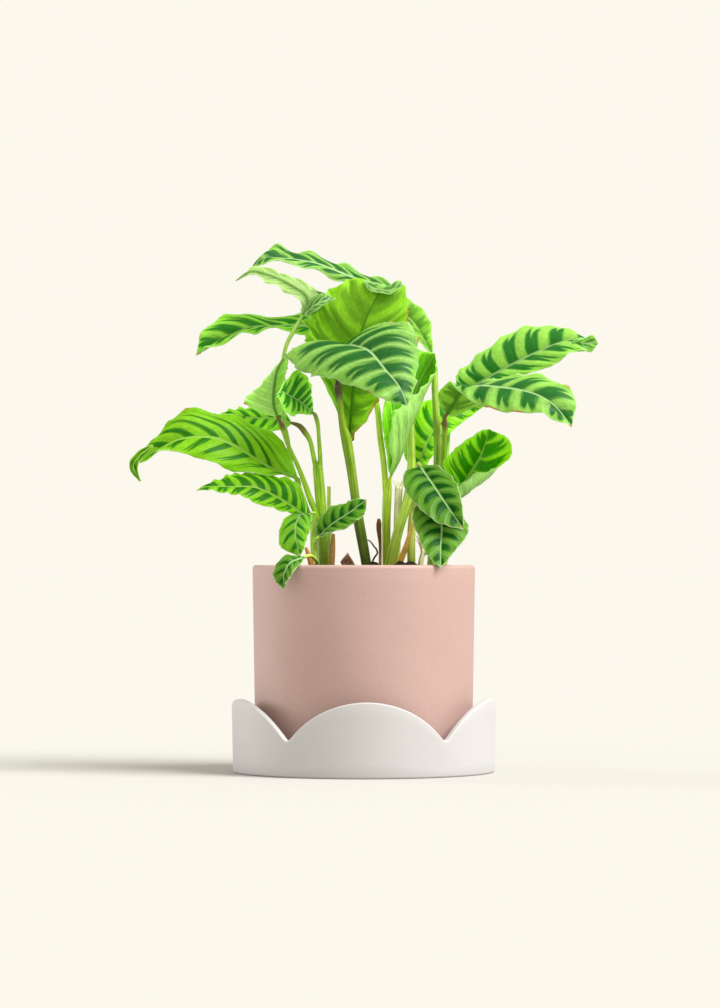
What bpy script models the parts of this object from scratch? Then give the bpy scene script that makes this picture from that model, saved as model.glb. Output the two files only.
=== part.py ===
"""Potted zebra calathea: a clump of striped leaves in soil, in a ceramic pot on a scalloped saucer.

Metres, +Z up. The origin is on the floor under the pot's axis, and the plant's best side faces -Y.
Leaves and stems are set out in millimetres, by hand, in the tables LEAVES and STEMS.
"""
import math

import bmesh
import bpy
from mathutils import Matrix, Vector

MM = 0.001

# Saucer, in millimetres: a dish whose wall ends in five round scallops
SAUCER_RADIUS = 105.5
SAUCER_FOOT_RADIUS = 104.4
SAUCER_WALL = 5.0
SAUCER_PEAK = 59.0
SAUCER_NOTCH = 26.5
SAUCER_EDGE_ROUND = 1.6
SCALLOPS = 5
SCALLOP_STEPS = 14
SCALLOP_TURN = math.radians(1.3)

# Pot, in millimetres: slightly wider at the rim than at the foot
POT_RIM_RADIUS = 89.0
POT_FOOT_RADIUS = 86.4
POT_RIM_HEIGHT = 165.0
POT_WALL = 6.0
POT_FLOOR = 7.0
POT_EDGE_ROUND = 1.6
DRAIN_RADIUS = 11.0
TURNED_STEPS = 48
CREASE = math.radians(35)

# Soil, in millimetres: it mounds up towards the clump and is pierced by one plain hole for each stem
SOIL_EDGE_HEIGHT = 156.0
SOIL_MOUND = 5.0
SOIL_RINGS = (10.0, 22.0, 35.0, 48.0, 62.0, 72.0)
HOLE_CLEARANCE = 0.5
HOLE_SIDES = 8
HOLE_LENGTH = 34.0
SOIL_CLODS = [((7, -16, 163.5), 6.0), ((29, -19, 163.0), 6.5), ((37, -15, 163.0), 6.0)]

# Faces that touch keep this much air, in millimetres
CONTACT_GAP = 0.3

# The pot stands on the saucer's floor, and the soil on the pot's
POT_FOOT_HEIGHT = SAUCER_WALL + CONTACT_GAP
POT_INSIDE_FLOOR = POT_FOOT_HEIGHT + POT_FLOOR
SOIL_FLOOR = POT_INSIDE_FLOOR + CONTACT_GAP

# Leaf blades, in millimetres
BLADE_THICKNESS = 0.8
BLADE_ROOT_HALF_WIDTH = 1.0
BLADE_TIP_HALF_WIDTH = 0.4
STEM_END_GAP = 0.8
STEM_LEAD = 4.0
TUBE_STEP = 20.0
STEM_END_RADIUS = 1.1

# Each blade: points along its midrib from root to tip, and ribs as (share of length, left edge, right
# edge), with left as seen from above with the tip ahead. arch is how far each half domes upwards as a
# share of its width, which a rib may change, wave the rise of its wavy edge and the number of waves, and
# grid its rows and columns.
LEAVES = {
    "leaf_top_sweep": dict(
        midrib=[(27, 19, 386), (13, 19, 391), (-6, 19, 396), (-24, 18, 403), (-42, 15, 409),
                (-68, 11, 412), (-82, 8, 411), (-92, 4, 401)],
        ribs=[
            (0.15, (17, 15, 386), (16, 28, 395)),
            (0.35, (-15, 12, 393), (-10, 31, 404)),
            (0.55, (-42, 6, 402), (-37, 29, 415)),
            (0.75, (-62, 2, 407), (-62, 24, 420)),
            (0.90, (-81, 1, 407), (-79, 15, 418)),
        ],
        arch=(0.1, 0.1), wave=(1.6, 5), grid=(14, 6),
    ),
    "leaf_top_left": dict(
        midrib=[(-49, -8, 364), (-44, -8, 373), (-47, -7, 381), (-57, -8, 388), (-72, -10, 395),
                (-89, -14, 399), (-102, -16, 391)],
        ribs=[
            (0.13, (-38, -17, 373), (-51, -9, 368), (0.85, 0.1)),
            (0.24, (-29, -13, 379), (-50, -11, 375), (0.5, 0.1)),
            (0.40, (-37, 2, 385), (-57, -12, 379), (0.1, 0.1)),
            (0.58, (-56, 2, 396), (-69, -14, 387)),
            (0.75, (-73, -4, 401), (-79, -15, 391)),
            (0.90, (-90, -11, 402), (-91, -16, 396)),
        ],
        arch=(0.1, 0.1), wave=(0.8, 4), grid=(12, 6),
    ),
    "leaf_mid_left": dict(
        midrib=[(-26, 14, 349), (-49, 20, 358), (-68, 21, 358), (-90, 20, 357), (-104, 19, 352),
                (-117, 18, 346), (-135, 14, 334)],
        ribs=[
            (0.20, (-46, 14, 351), (-43, 30, 369)),
            (0.40, (-78, 12, 354), (-78, 34, 365)),
            (0.60, (-95, 9, 350), (-99, 33, 370)),
            (0.80, (-119, 9, 342), (-120, 28, 363)),
            (0.92, (-128, 10, 337), (-132, 20, 351)),
        ],
        arch=(0.1, 0.1), wave=(1.0, 4), grid=(12, 6),
    ),
    "leaf_tall_centre": dict(
        midrib=[(-12, 5, 263), (-10, 6, 281), (-8, 4, 309), (-5, 1, 337), (0, -2, 357), (7, -2, 373),
                (14, 2, 383), (23, 9, 387)],
        ribs=[
            (0.10, (-8, 0, 267), (-20, 8, 283)),
            (0.25, (6, 2, 286), (-34, 10, 314)),
            (0.42, (16, 2, 308), (-46, 8, 339)),
            (0.58, (31, 1, 339), (-48, 6, 355)),
            (0.72, (36, 2, 361), (-41, 5, 376)),
            (0.86, (35, 5, 381), (-21, 7, 390)),
            (0.95, (31, 8, 390), (-1, 8, 394)),
        ],
        arch=(-0.05, -0.05), wave=(1.2, 5), grid=(14, 6),
    ),
    "leaf_front": dict(
        midrib=[(-21, -9, 314), (-20, -13, 328), (-15, -22, 339), (-6, -34, 338), (5, -46, 333),
                (17, -61, 318), (28, -71, 304), (34, -76, 289)],
        ribs=[
            (0.12, (-9, -8, 335), (-36, -12, 327)),
            (0.27, (9, -12, 353), (-61, -20, 336)),
            (0.42, (31, -22, 359), (-55, -36, 319)),
            (0.57, (44, -36, 343), (-35, -50, 312)),
            (0.75, (43, -52, 320), (-9, -66, 305)),
            (0.90, (39, -66, 300), (16, -78, 293)),
        ],
        arch=(0.1, 0.12), wave=(1.8, 5), grid=(14, 6),
    ),
    "leaf_behind_right": dict(
        midrib=[(54, 14, 335), (48, 18, 348), (39, 28, 363), (26, 42, 372), (12, 56, 375), (-1, 66, 370)],
        ribs=[
            (0.20, (39, 12, 352), (55, 18, 348)),
            (0.40, (29, 29, 357), (53, 27, 364)),
            (0.60, (15, 43, 362), (42, 40, 378)),
            (0.80, (0, 54, 366), (23, 58, 382)),
        ],
        arch=(0.1, 0.1), wave=(0.6, 3), grid=(8, 4),
    ),
    "leaf_furled": dict(
        midrib=[(22, 4, 237), (27, 6, 253), (31, 9, 269), (36, 12, 288), (42, 13, 306), (49, 12, 322),
                (57, 8, 335)],
        ribs=[
            (0.15, (19, 0, 250), (21, -6, 248), (0.1, -0.37)),
            (0.35, (16, -2, 267), (20, -12, 266), (0.1, -0.4)),
            (0.55, (15, -4, 289), (23, -14, 288), (0.1, -0.45)),
            (0.75, (26, 3, 316), (42, -9, 303), (0.1, -0.31)),
            (0.90, (44, 4, 337), (58, 1, 323), (0.1, -0.25)),
        ],
        arch=(0.1, 0.1), wave=(0.4, 3), grid=(10, 10),
    ),
    "leaf_behind_stems": dict(
        midrib=[(44, 14, 242), (49, 20, 258), (56, 26, 273), (67, 33, 285), (84, 41, 292),
                (100, 48, 296)],
        ribs=[
            (0.20, (32, 22, 255), (51, 20, 246)),
            (0.42, (34, 32, 282), (61, 25, 261)),
            (0.62, (49, 39, 298), (76, 32, 277)),
            (0.84, (75, 47, 300), (90, 43, 288)),
        ],
        arch=(0.1, 0.1), wave=(1.0, 4), grid=(12, 6),
    ),
    "leaf_upper_right": dict(
        midrib=[(77, 52, 306), (88, 49, 310), (111, 42, 323), (139, 33, 337), (166, 25, 347),
                (187, 20, 345)],
        ribs=[
            (0.12, (72, 60, 316), (89, 43, 306)),
            (0.32, (89, 60, 333), (117, 30, 315)),
            (0.54, (121, 55, 356), (147, 16, 323)),
            (0.76, (154, 44, 360), (167, 11, 335)),
            (0.90, (172, 31, 353), (180, 14, 339)),
        ],
        arch=(0.1, 0.1), wave=(1.0, 4), grid=(12, 6),
    ),
    "leaf_lower_right": dict(
        midrib=[(67, 6, 286), (73, 2, 295), (78, -5, 304), (85, -12, 308), (102, -25, 307),
                (130, -37, 302), (149, -43, 292), (164, -45, 274)],
        ribs=[
            (0.10, (76, 5, 285), (59, 4, 300)),
            (0.20, (92, 8, 293), (66, -4, 310)),
            (0.34, (96, 2, 308), (81, -24, 298)),
            (0.55, (124, -14, 316), (107, -42, 286)),
            (0.75, (152, -28, 312), (134, -52, 284)),
            (0.90, (168, -38, 294), (154, -50, 278)),
        ],
        arch=(0.1, 0.1), wave=(1.0, 4), grid=(12, 6),
    ),
    "leaf_left_small_up": dict(
        midrib=[(-41, 3, 287), (-48, -9, 293), (-54, -20, 297), (-60, -30, 300), (-64, -36, 302),
                (-68, -42, 300)],
        ribs=[
            (0.20, (-45, -4, 285), (-42, 4, 304)),
            (0.40, (-51, -16, 285), (-43, -6, 313)),
            (0.62, (-58, -27, 283), (-54, -18, 320)),
            (0.84, (-66, -38, 293), (-62, -32, 311)),
        ],
        arch=(0.1, 0.1), wave=(1.0, 4), grid=(12, 6),
    ),
    "leaf_left_back_face": dict(
        midrib=[(-69, -4, 284), (-72, -8, 293), (-72, -12, 302), (-71, -16, 311), (-69, -18, 320),
                (-64, -18, 329), (-62, -16, 334)],
        ribs=[
            (0.15, (-64, -2, 289), (-86, -6, 288)),
            (0.36, (-61, -5, 300), (-96, -10, 296)),
            (0.60, (-62, -11, 315), (-82, -13, 309)),
            (0.82, (-60, -15, 325), (-71, -17, 322)),
        ],
        arch=(0.1, 0.1), wave=(1.0, 4), grid=(12, 6),
    ),
    "leaf_left_hidden": dict(
        midrib=[(-58, 8, 279), (-71, 17, 283), (-88, 26, 284), (-103, 32, 286), (-117, 36, 287)],
        ribs=[
            (0.20, (-69, 13, 273), (-68, 22, 293)),
            (0.45, (-85, 23, 272), (-86, 34, 294)),
            (0.70, (-100, 29, 276), (-102, 40, 292)),
            (0.90, (-111, 34, 282), (-113, 39, 290)),
        ],
        arch=(0.1, 0.1), wave=(0.6, 3), grid=(8, 4),
    ),
    "leaf_left_large": dict(
        midrib=[(-56, 0, 235), (-67, -3, 239), (-77, -5, 243), (-88, -7, 250), (-105, -10, 261),
                (-123, -12, 267), (-147, -14, 265), (-169, -18, 254), (-180, -21, 249),
                (-185, -23, 242), (-178, -24, 232)],
        ribs=[
            (0.08, (-64, -8, 236), (-57, 5, 248)),
            (0.22, (-81, -18, 237), (-67, 9, 265)),
            (0.40, (-108, -24, 241), (-94, 10, 281)),
            (0.57, (-135, -26, 251), (-125, 4, 289)),
            (0.72, (-159, -24, 255), (-152, -4, 284)),
            (0.84, (-177, -22, 247), (-176, -17, 257)),
            (0.93, (-183, -22, 240), (-186, -22, 245)),
        ],
        arch=(0.1, 0.1), wave=(1.4, 5), grid=(16, 6),
    ),
    "leaf_left_low": dict(
        midrib=[(-47, -16, 204), (-62, -22, 215), (-77, -28, 223), (-88, -31, 227), (-104, -34, 227),
                (-124, -36, 227), (-132, -36, 224)],
        ribs=[
            (0.12, (-55, -22, 205), (-46, -12, 217)),
            (0.30, (-69, -32, 209), (-57, -9, 233)),
            (0.50, (-85, -39, 214), (-81, -9, 237)),
            (0.70, (-102, -41, 221), (-101, -18, 238)),
            (0.88, (-117, -39, 223), (-118, -29, 232)),
        ],
        arch=(0.1, 0.1), wave=(1.0, 4), grid=(12, 6),
    ),
    "leaf_small_hanging": dict(
        midrib=[(-42, -20, 206), (-50, -30, 205), (-54, -35, 195), (-53, -37, 184), (-50, -37, 172)],
        ribs=[
            (0.22, (-42, -25, 199), (-59, -31, 204)),
            (0.50, (-43, -30, 192), (-67, -36, 192)),
            (0.76, (-46, -34, 182), (-65, -37, 178)),
        ],
        arch=(0.1, 0.1), wave=(0.6, 3), grid=(8, 4),
    ),
    "leaf_over_rim": dict(
        midrib=[(-47, -67, 171), (-57, -75, 167), (-62, -79, 158), (-62, -80, 146)],
        ribs=[
            (0.30, (-52, -77, 163), (-61, -70, 173)),
            (0.55, (-56, -82, 157), (-70, -72, 163)),
            (0.80, (-60, -82, 151), (-69, -77, 152)),
        ],
        arch=(0.1, 0.1), wave=(0.6, 3), grid=(8, 4),
    ),
    "leaf_small_centre": dict(
        midrib=[(-36, -19, 187), (-26, -22, 197), (-11, -24, 207), (2, -24, 217)],
        ribs=[
            (0.20, (-38, -19, 198), (-29, -26, 190)),
            (0.45, (-27, -18, 211), (-17, -30, 193)),
            (0.70, (-14, -19, 215), (-5, -30, 200)),
            (0.90, (-4, -22, 218), (2, -27, 209)),
        ],
        arch=(0.1, 0.1), wave=(0.6, 3), grid=(8, 4),
    ),
    "leaf_right_small_up": dict(
        midrib=[(45, -22, 243), (55, -38, 228), (64, -50, 214), (78, -64, 193)],
        ribs=[
            (0.15, (58, -22, 244), (33, -26, 240)),
            (0.35, (71, -34, 234), (31, -38, 229)),
            (0.58, (76, -47, 221), (40, -54, 213)),
            (0.80, (78, -59, 207), (58, -66, 198)),
        ],
        arch=(0.1, 0.1), wave=(0.6, 3), grid=(8, 4),
    ),
    "leaf_right_small_low": dict(
        midrib=[(59, -38, 214), (61, -49, 202), (61, -57, 189), (60, -65, 177), (60, -72, 163)],
        ribs=[
            (0.15, (72, -38, 212), (43, -40, 214)),
            (0.35, (81, -46, 200), (38, -50, 204)),
            (0.60, (81, -57, 188), (42, -60, 188)),
            (0.82, (70, -67, 174), (50, -69, 172)),
        ],
        arch=(0.1, 0.1), wave=(0.6, 3), grid=(8, 4),
    ),
    "leaf_right_spoon": dict(
        midrib=[(74, -8, 217), (79, -6, 228), (86, -4, 241), (94, -6, 254), (100, -14, 273)],
        ribs=[
            (0.20, (66, -10, 238), (77, -22, 231), (0.1, -0.58)),
            (0.40, (63, -13, 248), (91, -26, 238), (0.1, -0.5)),
            (0.60, (73, -14, 258), (106, -24, 243), (0.1, -0.3)),
            (0.80, (85, -15, 267), (118, -19, 255), (0.1, 0)),
            (0.93, (96, -15, 273), (112, -17, 268), (0.1, 0.1)),
        ],
        arch=(0.1, 0.1), wave=(0.8, 3), grid=(10, 8),
    ),
}

# Each stem node: branches as points (x, y, z, radius) from the foot upwards. A branch that starts below
# the soil stands in a hole of its own. A leaf's name at the end runs the branch up to that blade's root.
STEMS = {
    "stems_left_sheath": [
        [(-32, 0, 145, 4.4), (-32, 0, 165, 4.4), (-33, 0, 190, 4.3), (-34, 0, 209, 4.2),
         (-37, 1, 243, 4.0), (-37, 1, 247, 2.2)],
        [(-35, 1, 233, 2.2), (-35, 1, 250, 1.8), (-36, 4, 266, 1.5), (-37, 7, 278, 1.6),
         "leaf_left_small_up"],
        [(-37, 1, 235, 2.2), (-40, 2, 250, 1.9), (-43, 4, 264, 1.8), (-47, 5, 271, 1.9),
         (-51, 6, 276, 1.8), "leaf_left_hidden"],
        [(-34, -1, 185, 2.4), (-38, -4, 205, 2.3), (-43, -5, 218, 2.4), (-51, -5, 240, 1.8),
         (-61, -6, 262, 1.6), (-65, -5, 275, 1.8), "leaf_left_back_face"],
        [(-34, 4, 181, 2.0), (-42, 5, 196, 1.9), (-47, 5, 211, 1.8), (-51, 3, 223, 1.7),
         "leaf_left_large"],
    ],
    "stems_left_light": [
        [(-39, -13, 145, 3.0), (-39, -13, 165, 3.0), (-40, -13, 185, 2.9), (-40, -14, 199, 2.0),
         "leaf_small_hanging"],
        [(-40, -13, 183, 2.0), (-42, -12, 197, 1.6), "leaf_left_low"],
        [(-39, -13, 175, 1.8), "leaf_small_centre"],
        [(-39, -14, 168, 1.7), (-37, -25, 168, 1.4), (-39, -38, 168, 1.3), (-43, -52, 169, 1.2),
         "leaf_over_rim"],
    ],
    "stem_top_left": [
        [(-36, 14, 145, 2.6), (-36, 14, 165, 2.6), (-41, 11, 193, 2.4), (-47, 11, 213, 2.1),
         (-54, 14, 233, 1.8), (-59, 14, 249, 1.7), (-61, 11, 265, 1.6), (-64, 6, 281, 1.6),
         (-65, 2, 305, 1.6), (-65, -4, 325, 1.6), (-62, -8, 340, 1.6), (-56, -9, 352, 1.7),
         "leaf_top_left"],
    ],
    "stems_tall_pair": [
        [(4, 0, 145, 4.0), (2, 0, 165, 4.0), (-4, -1, 199, 4.2), (-7, -2, 219, 3.6),
         (-10, -2, 241, 3.8), (-14, -3, 265, 4.2), (-17, -4, 277, 3.0), (-19, -6, 293, 2.5),
         (-21, -8, 309, 2.3), "leaf_front"],
        [(-9, -2, 229, 2.4), (-10, 2, 247, 2.4), "leaf_tall_centre"],
    ],
    "stems_centre_pair": [
        [(18, 8, 145, 3.2), (18, 8, 165, 3.2), (18, 7, 203, 3.5), (19, 6, 225, 3.4), "leaf_furled"],
        [(18, 6, 217, 2.6), (16, 6, 245, 2.4), (13, 6, 268, 2.4), (11, 7, 289, 2.3), (7, 11, 307, 2.2),
         (-1, 16, 327, 2.1), (-12, 17, 342, 2.0), (-21, 14, 347, 1.9), "leaf_mid_left"],
    ],
    "stem_top_sweep": [
        [(17, -6, 145, 4.2), (21, -5, 165, 4.2), (27, -4, 191, 4.0), (35, 0, 217, 3.8),
         (38, 6, 241, 3.5), (38, 13, 265, 3.2), (37, 18, 286, 3.0), (35, 21, 314, 2.7),
         (32, 16, 346, 2.4), (33, 14, 370, 2.2), "leaf_top_sweep"],
    ],
    "stem_behind_right": [
        [(53, 12, 145, 3.4), (54, 12, 165, 3.4), (57, 11, 209, 3.3), (59, 11, 246, 3.2),
         (59, 11, 265, 3.0), (58, 12, 290, 2.8), (57, 13, 309, 2.6), (57, 14, 321, 2.2),
         "leaf_behind_right"],
    ],
    "stem_lower_right": [
        [(60, 1, 145, 2.6), (61, 1, 165, 2.6), (63, 3, 217, 2.5), (64, 5, 257, 2.2), (65, 6, 273, 2.0),
         "leaf_lower_right"],
    ],
    "stem_upper_right": [
        [(58, 28, 145, 2.6), (59, 28, 165, 2.6), (64, 38, 218, 2.4), (68, 50, 267, 2.1),
         (71, 57, 296, 2.0), "leaf_upper_right"],
    ],
    "stems_right_pair": [
        [(38, 6, 145, 3.3), (38, 6, 165, 3.3), (38, 6, 191, 3.2), (40, 9, 217, 2.8),
         (42, 12, 233, 2.2), "leaf_behind_stems"],
        [(39, 7, 205, 2.2), (43, 4, 219, 2.0), (45, -2, 230, 1.8), (43, -11, 239, 1.7),
         "leaf_right_small_up"],
    ],
    "stem_right_spoon": [
        [(63, -12, 145, 2.4), (64, -12, 165, 2.4), (67, -12, 185, 2.2), (72, -11, 205, 2.0),
         "leaf_right_spoon"],
    ],
    "stem_right_small_low": [
        [(53, -22, 145, 2.0), (54, -24, 165, 2.0), (55, -28, 181, 1.9), (56, -29, 201, 1.8),
         "leaf_right_small_low"],
    ],
    "stub_frayed": [
        [(25, 8, 145, 2.9), (26, 8, 165, 2.9), (27, 7, 199, 3.1), (28, 6, 228, 3.1)],
    ],
    "stub_cut": [
        [(-26, 10, 145, 1.7), (-26, 10, 165, 1.7), (-28, 9, 209, 1.6), (-28, 9, 228, 1.5)],
    ],
    "stub_brown": [
        [(22, -13, 145, 2.4), (28, -14, 165, 2.4), (34, -15, 181, 2.0), (39, -16, 199, 1.2)],
    ],
    "stalk_knob": [
        [(13, -9, 145, 1.2), (13, -9, 165, 1.2), (13, -9, 181, 1.2), (12, -9, 193, 1.9),
         (12, -9, 198, 2.0), (12, -9, 202, 1.0)],
    ],
    "stub_fibres": [
        [(43, -7, 145, 2.2), (45, -7, 165, 2.2), (48, -7, 178, 1.8)],
    ],
    "sheath_dry": [
        [(-27, -9, 145, 2.6), (-26, -9, 165, 2.6), (-25, -9, 179, 2.2), (-24, -9, 190, 1.0)],
    ],
    "stub_orange": [
        [(-40, -22, 145, 2.0), (-42, -23, 165, 2.0), (-44, -23, 173, 1.8), (-46, -23, 179, 1.1)],
    ],
    "root_curl": [
        [(5, -9, 153, 0.7), (7, -9, 168, 0.7), (11, -10, 175, 0.7), (8, -10, 180, 0.6),
         (5, -10, 184, 0.5), (3, -9, 185, 0.4)],
    ],
}

# The bark chip that leans in the soil: centre, size and turns, in millimetres and degrees
CHIP_CENTRE = (-11, -12, 163)
CHIP_SIZE = (9.5, 4.5, 19)
CHIP_TURNS = (12, -32, 8)
CHIP_SKEW = 0.15
CHIP_EDGE = 0.9

COLOURS = {
    "blade": (0.13, 0.42, 0.09),
    "stem": (0.30, 0.50, 0.13),
    "dry": (0.32, 0.17, 0.07),
    "pot": (0.69, 0.47, 0.41),
    "saucer": (0.76, 0.73, 0.69),
    "soil": (0.045, 0.030, 0.022),
}
ROUGHNESS = {"blade": 0.45, "stem": 0.4, "dry": 0.85, "pot": 0.6, "saucer": 0.6, "soil": 0.95}
DRY_NODES = ("stub_brown", "stub_orange", "stalk_knob", "sheath_dry", "root_curl")


def clear_scene():
    for old in list(bpy.data.objects):
        bpy.data.objects.remove(old, do_unlink=True)


def new_collection(name):
    collection = bpy.data.collections.new(name)
    bpy.context.scene.collection.children.link(collection)
    return collection


def material(name, kind):
    """A plain Principled material of the kind's colour and roughness."""
    made = bpy.data.materials.new(name)
    made.use_nodes = True
    shader = made.node_tree.nodes["Principled BSDF"]
    shader.inputs["Base Color"].default_value = (*COLOURS[kind], 1.0)
    shader.inputs["Roughness"].default_value = ROUGHNESS[kind]
    shader.inputs["Metallic"].default_value = 0.0
    return made


def add_object(name, data, kind, collection):
    obj = bpy.data.objects.new(name, data)
    collection.objects.link(obj)
    data.materials.clear()
    data.materials.append(material(name + "_finish", kind))
    return obj


def mesh_from(bm, name):
    mesh = bpy.data.meshes.new(name)
    bm.to_mesh(mesh)
    bm.free()
    return mesh


def applied(obj):
    """A mesh with the object's modifiers applied; the object keeps none of them."""
    graph = bpy.context.evaluated_depsgraph_get()
    mesh = bpy.data.meshes.new_from_object(obj.evaluated_get(graph))
    obj.modifiers.clear()
    obj.data = mesh
    return mesh


def spline_point(before, start, end, after, u):
    """The point at share u between start and end on a smooth curve through four points."""
    return 0.5 * (2 * start + (end - before) * u
                  + (2 * before - 5 * start + 4 * end - after) * u ** 2
                  + (3 * start - before - 3 * end + after) * u ** 3)


def smooth_path(points, count):
    """Points evenly spaced along a smooth curve through the given ones; a fourth number is carried along."""
    knots = [Vector(point) for point in points]
    knots = [2 * knots[0] - knots[1], *knots, 2 * knots[-1] - knots[-2]]
    steps = 12
    fine = []
    for before, start, end, after in zip(knots, knots[1:], knots[2:], knots[3:]):
        for step in range(steps):
            fine.append(spline_point(before, start, end, after, step / steps))
    fine.append(knots[-2])
    travelled = [0.0]
    for a, b in zip(fine, fine[1:]):
        travelled.append(travelled[-1] + (b.to_3d() - a.to_3d()).length)
    path = []
    k = 0
    for i in range(count):
        goal = travelled[-1] * i / (count - 1)
        while k < len(fine) - 2 and travelled[k + 1] < goal:
            k += 1
        share = (goal - travelled[k]) / max(travelled[k + 1] - travelled[k], 1e-9)
        path.append(fine[k].lerp(fine[k + 1], min(share, 1.0)))
    return path


def reading(stations, t):
    """A smooth reading at t between stations (t, vector), level beyond the first and the last."""
    if t <= stations[0][0]:
        return stations[0][1].copy()
    if t >= stations[-1][0]:
        return stations[-1][1].copy()
    k = max(i for i, station in enumerate(stations) if station[0] <= t)
    low, high = max(k - 1, 0), min(k + 2, len(stations) - 1)
    (t0, a), (t1, b) = stations[k], stations[k + 1]
    slope_a = (b - stations[low][1]) / (t1 - stations[low][0])
    slope_b = (stations[high][1] - a) / (stations[high][0] - t0)
    span = t1 - t0
    u = (t - t0) / span
    return (a * (2 * u ** 3 - 3 * u ** 2 + 1) + slope_a * span * (u ** 3 - 2 * u ** 2 + u)
            + b * (3 * u ** 2 - 2 * u ** 3) + slope_b * span * (u ** 3 - u ** 2))


def leaf_outline(t):
    """Share of the full half width at t: round at the root, drawn out to a point at the tip."""
    return 3.3 * max(t, 0.0) ** 0.75 * max(1.0 - t, 0.0)


def blade_surface(spec):
    """A function of t, from root to tip, and s, from -1 at the left edge to 1 at the right."""
    steps = 96
    midrib = smooth_path(spec["midrib"], steps + 1)

    def along(t):
        place = min(max(t, 0.0), 1.0) * steps
        k = min(int(place), steps - 1)
        return midrib[k].lerp(midrib[k + 1], place - k)

    sides = {-1: [], 1: []}
    domes = []
    for t, left, right, *dome in spec["ribs"]:
        for side, edge in ((-1, left), (1, right)):
            sides[side].append((t, (Vector(edge) - along(t)) / leaf_outline(t)))
        domes.append((t, Vector(dome[0] if dome else spec["arch"])))

    root, root_ahead = midrib[0], (midrib[2] - midrib[0]).normalized()

    def point(t, s):
        side = -1 if s < 0 else 1
        reach = reading(sides[side], t)
        floor = BLADE_ROOT_HALF_WIDTH + (BLADE_TIP_HALF_WIDTH - BLADE_ROOT_HALF_WIDTH) * t
        half = reach * max(leaf_outline(t), floor / reach.length)
        ahead = along(t + 0.02) - along(t - 0.02)
        up = (half.cross(ahead) * side).normalized()
        share = abs(s)
        dome = reading(domes, t)[0 if side < 0 else 1] * 4 * share * (1 - share) * half.length
        rise, waves = spec["wave"]
        ripple = rise * share ** 2 * math.sin(math.tau * waves * t + 1.3 * side) * math.sin(math.pi * t)
        place = along(t) + half * share + up * (dome + ripple)
        behind = min((place - root).dot(root_ahead), 0.0)
        hold = min(max((0.24 - t) / 0.1, 0.0), 1.0)
        return place - root_ahead * behind * hold

    return point


def add_blade(name, spec, collection):
    """An open sheet laid on the blade's surface, cut into triangles and given its thickness."""
    rows, columns = spec["grid"]
    surface = blade_surface(spec)
    bm = bmesh.new()
    bmesh.ops.create_grid(bm, x_segments=columns, y_segments=rows, size=1.0)
    for vert in bm.verts:
        vert.co = surface((vert.co.y + 1) / 2, vert.co.x) * MM
    bmesh.ops.triangulate(bm, faces=bm.faces, quad_method="SHORT_EDGE")
    obj = add_object(name, mesh_from(bm, name), "blade", collection)
    obj.data.shade_smooth()
    solid = obj.modifiers.new("thickness", "SOLIDIFY")
    solid.thickness = BLADE_THICKNESS * MM
    solid.offset = -1.0
    return obj


def branch_points(branch):
    """The branch's points; a leaf's name becomes two points in line with that blade, just short of it."""
    points = [Vector(point) for point in branch if not isinstance(point, str)]
    if isinstance(branch[-1], str):
        root, ahead = smooth_path(LEAVES[branch[-1]]["midrib"], 24)[:2]
        back = (root - ahead).normalized()
        points.append(Vector((*(root + back * STEM_LEAD), STEM_END_RADIUS * 1.25)))
        points.append(Vector((*(root + back * STEM_END_GAP), STEM_END_RADIUS)))
    return points


def tube_path(points):
    """The given points on one smooth curve, with more between those that lie far apart."""
    knots = [2 * points[0] - points[1], *points, 2 * points[-1] - points[-2]]
    path = []
    for before, start, end, after in zip(knots, knots[1:], knots[2:], knots[3:]):
        steps = max(1, round((end.to_3d() - start.to_3d()).length / TUBE_STEP))
        for step in range(steps):
            path.append(spline_point(before, start, end, after, step / steps))
    path.append(points[-1])
    return path


def tube_mesh(name, points):
    """A closed round tube through points (x, y, z, radius)."""
    path = tube_path(points)
    curve = bpy.data.curves.new(name, "CURVE")
    curve.dimensions = "3D"
    curve.bevel_depth = MM
    curve.bevel_resolution = 2
    curve.use_fill_caps = True
    spline = curve.splines.new("POLY")
    spline.points.add(len(path) - 1)
    for knot, place in zip(spline.points, path):
        knot.co = (*(place.to_3d() * MM), 1.0)
        knot.radius = place.w
    guide = bpy.data.objects.new(name + "_guide", curve)
    bpy.context.scene.collection.objects.link(guide)
    graph = bpy.context.evaluated_depsgraph_get()
    mesh = bpy.data.meshes.new_from_object(guide.evaluated_get(graph))
    bpy.data.objects.remove(guide, do_unlink=True)
    bm = bmesh.new()
    bm.from_mesh(mesh)
    bmesh.ops.remove_doubles(bm, verts=bm.verts, dist=0.00001)
    bmesh.ops.recalc_face_normals(bm, faces=bm.faces)
    bm.to_mesh(mesh)
    bm.free()
    return mesh


def join_by_union(obj, others):
    """Fuses the other objects into this one and removes them."""
    for other in others:
        union = obj.modifiers.new("union", "BOOLEAN")
        union.operation = "UNION"
        union.object = other
    applied(obj)
    for other in others:
        bpy.data.objects.remove(other, do_unlink=True)


def add_stem(name, branches, collection):
    """One leafy stem: its branches as tubes, fused where they leave their common sheath."""
    kind = "dry" if name in DRY_NODES else "stem"
    tubes = []
    for k, branch in enumerate(branches):
        tube = bpy.data.objects.new(f"{name}_{k}", tube_mesh(f"{name}_{k}", branch_points(branch)))
        bpy.context.scene.collection.objects.link(tube)
        tubes.append(tube)
    if len(tubes) > 1:
        join_by_union(tubes[0], tubes[1:])
    mesh = tubes[0].data
    bpy.data.objects.remove(tubes[0], do_unlink=True)
    stem = add_object(name, mesh, kind, collection)
    mesh.shade_smooth()
    return stem


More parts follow.
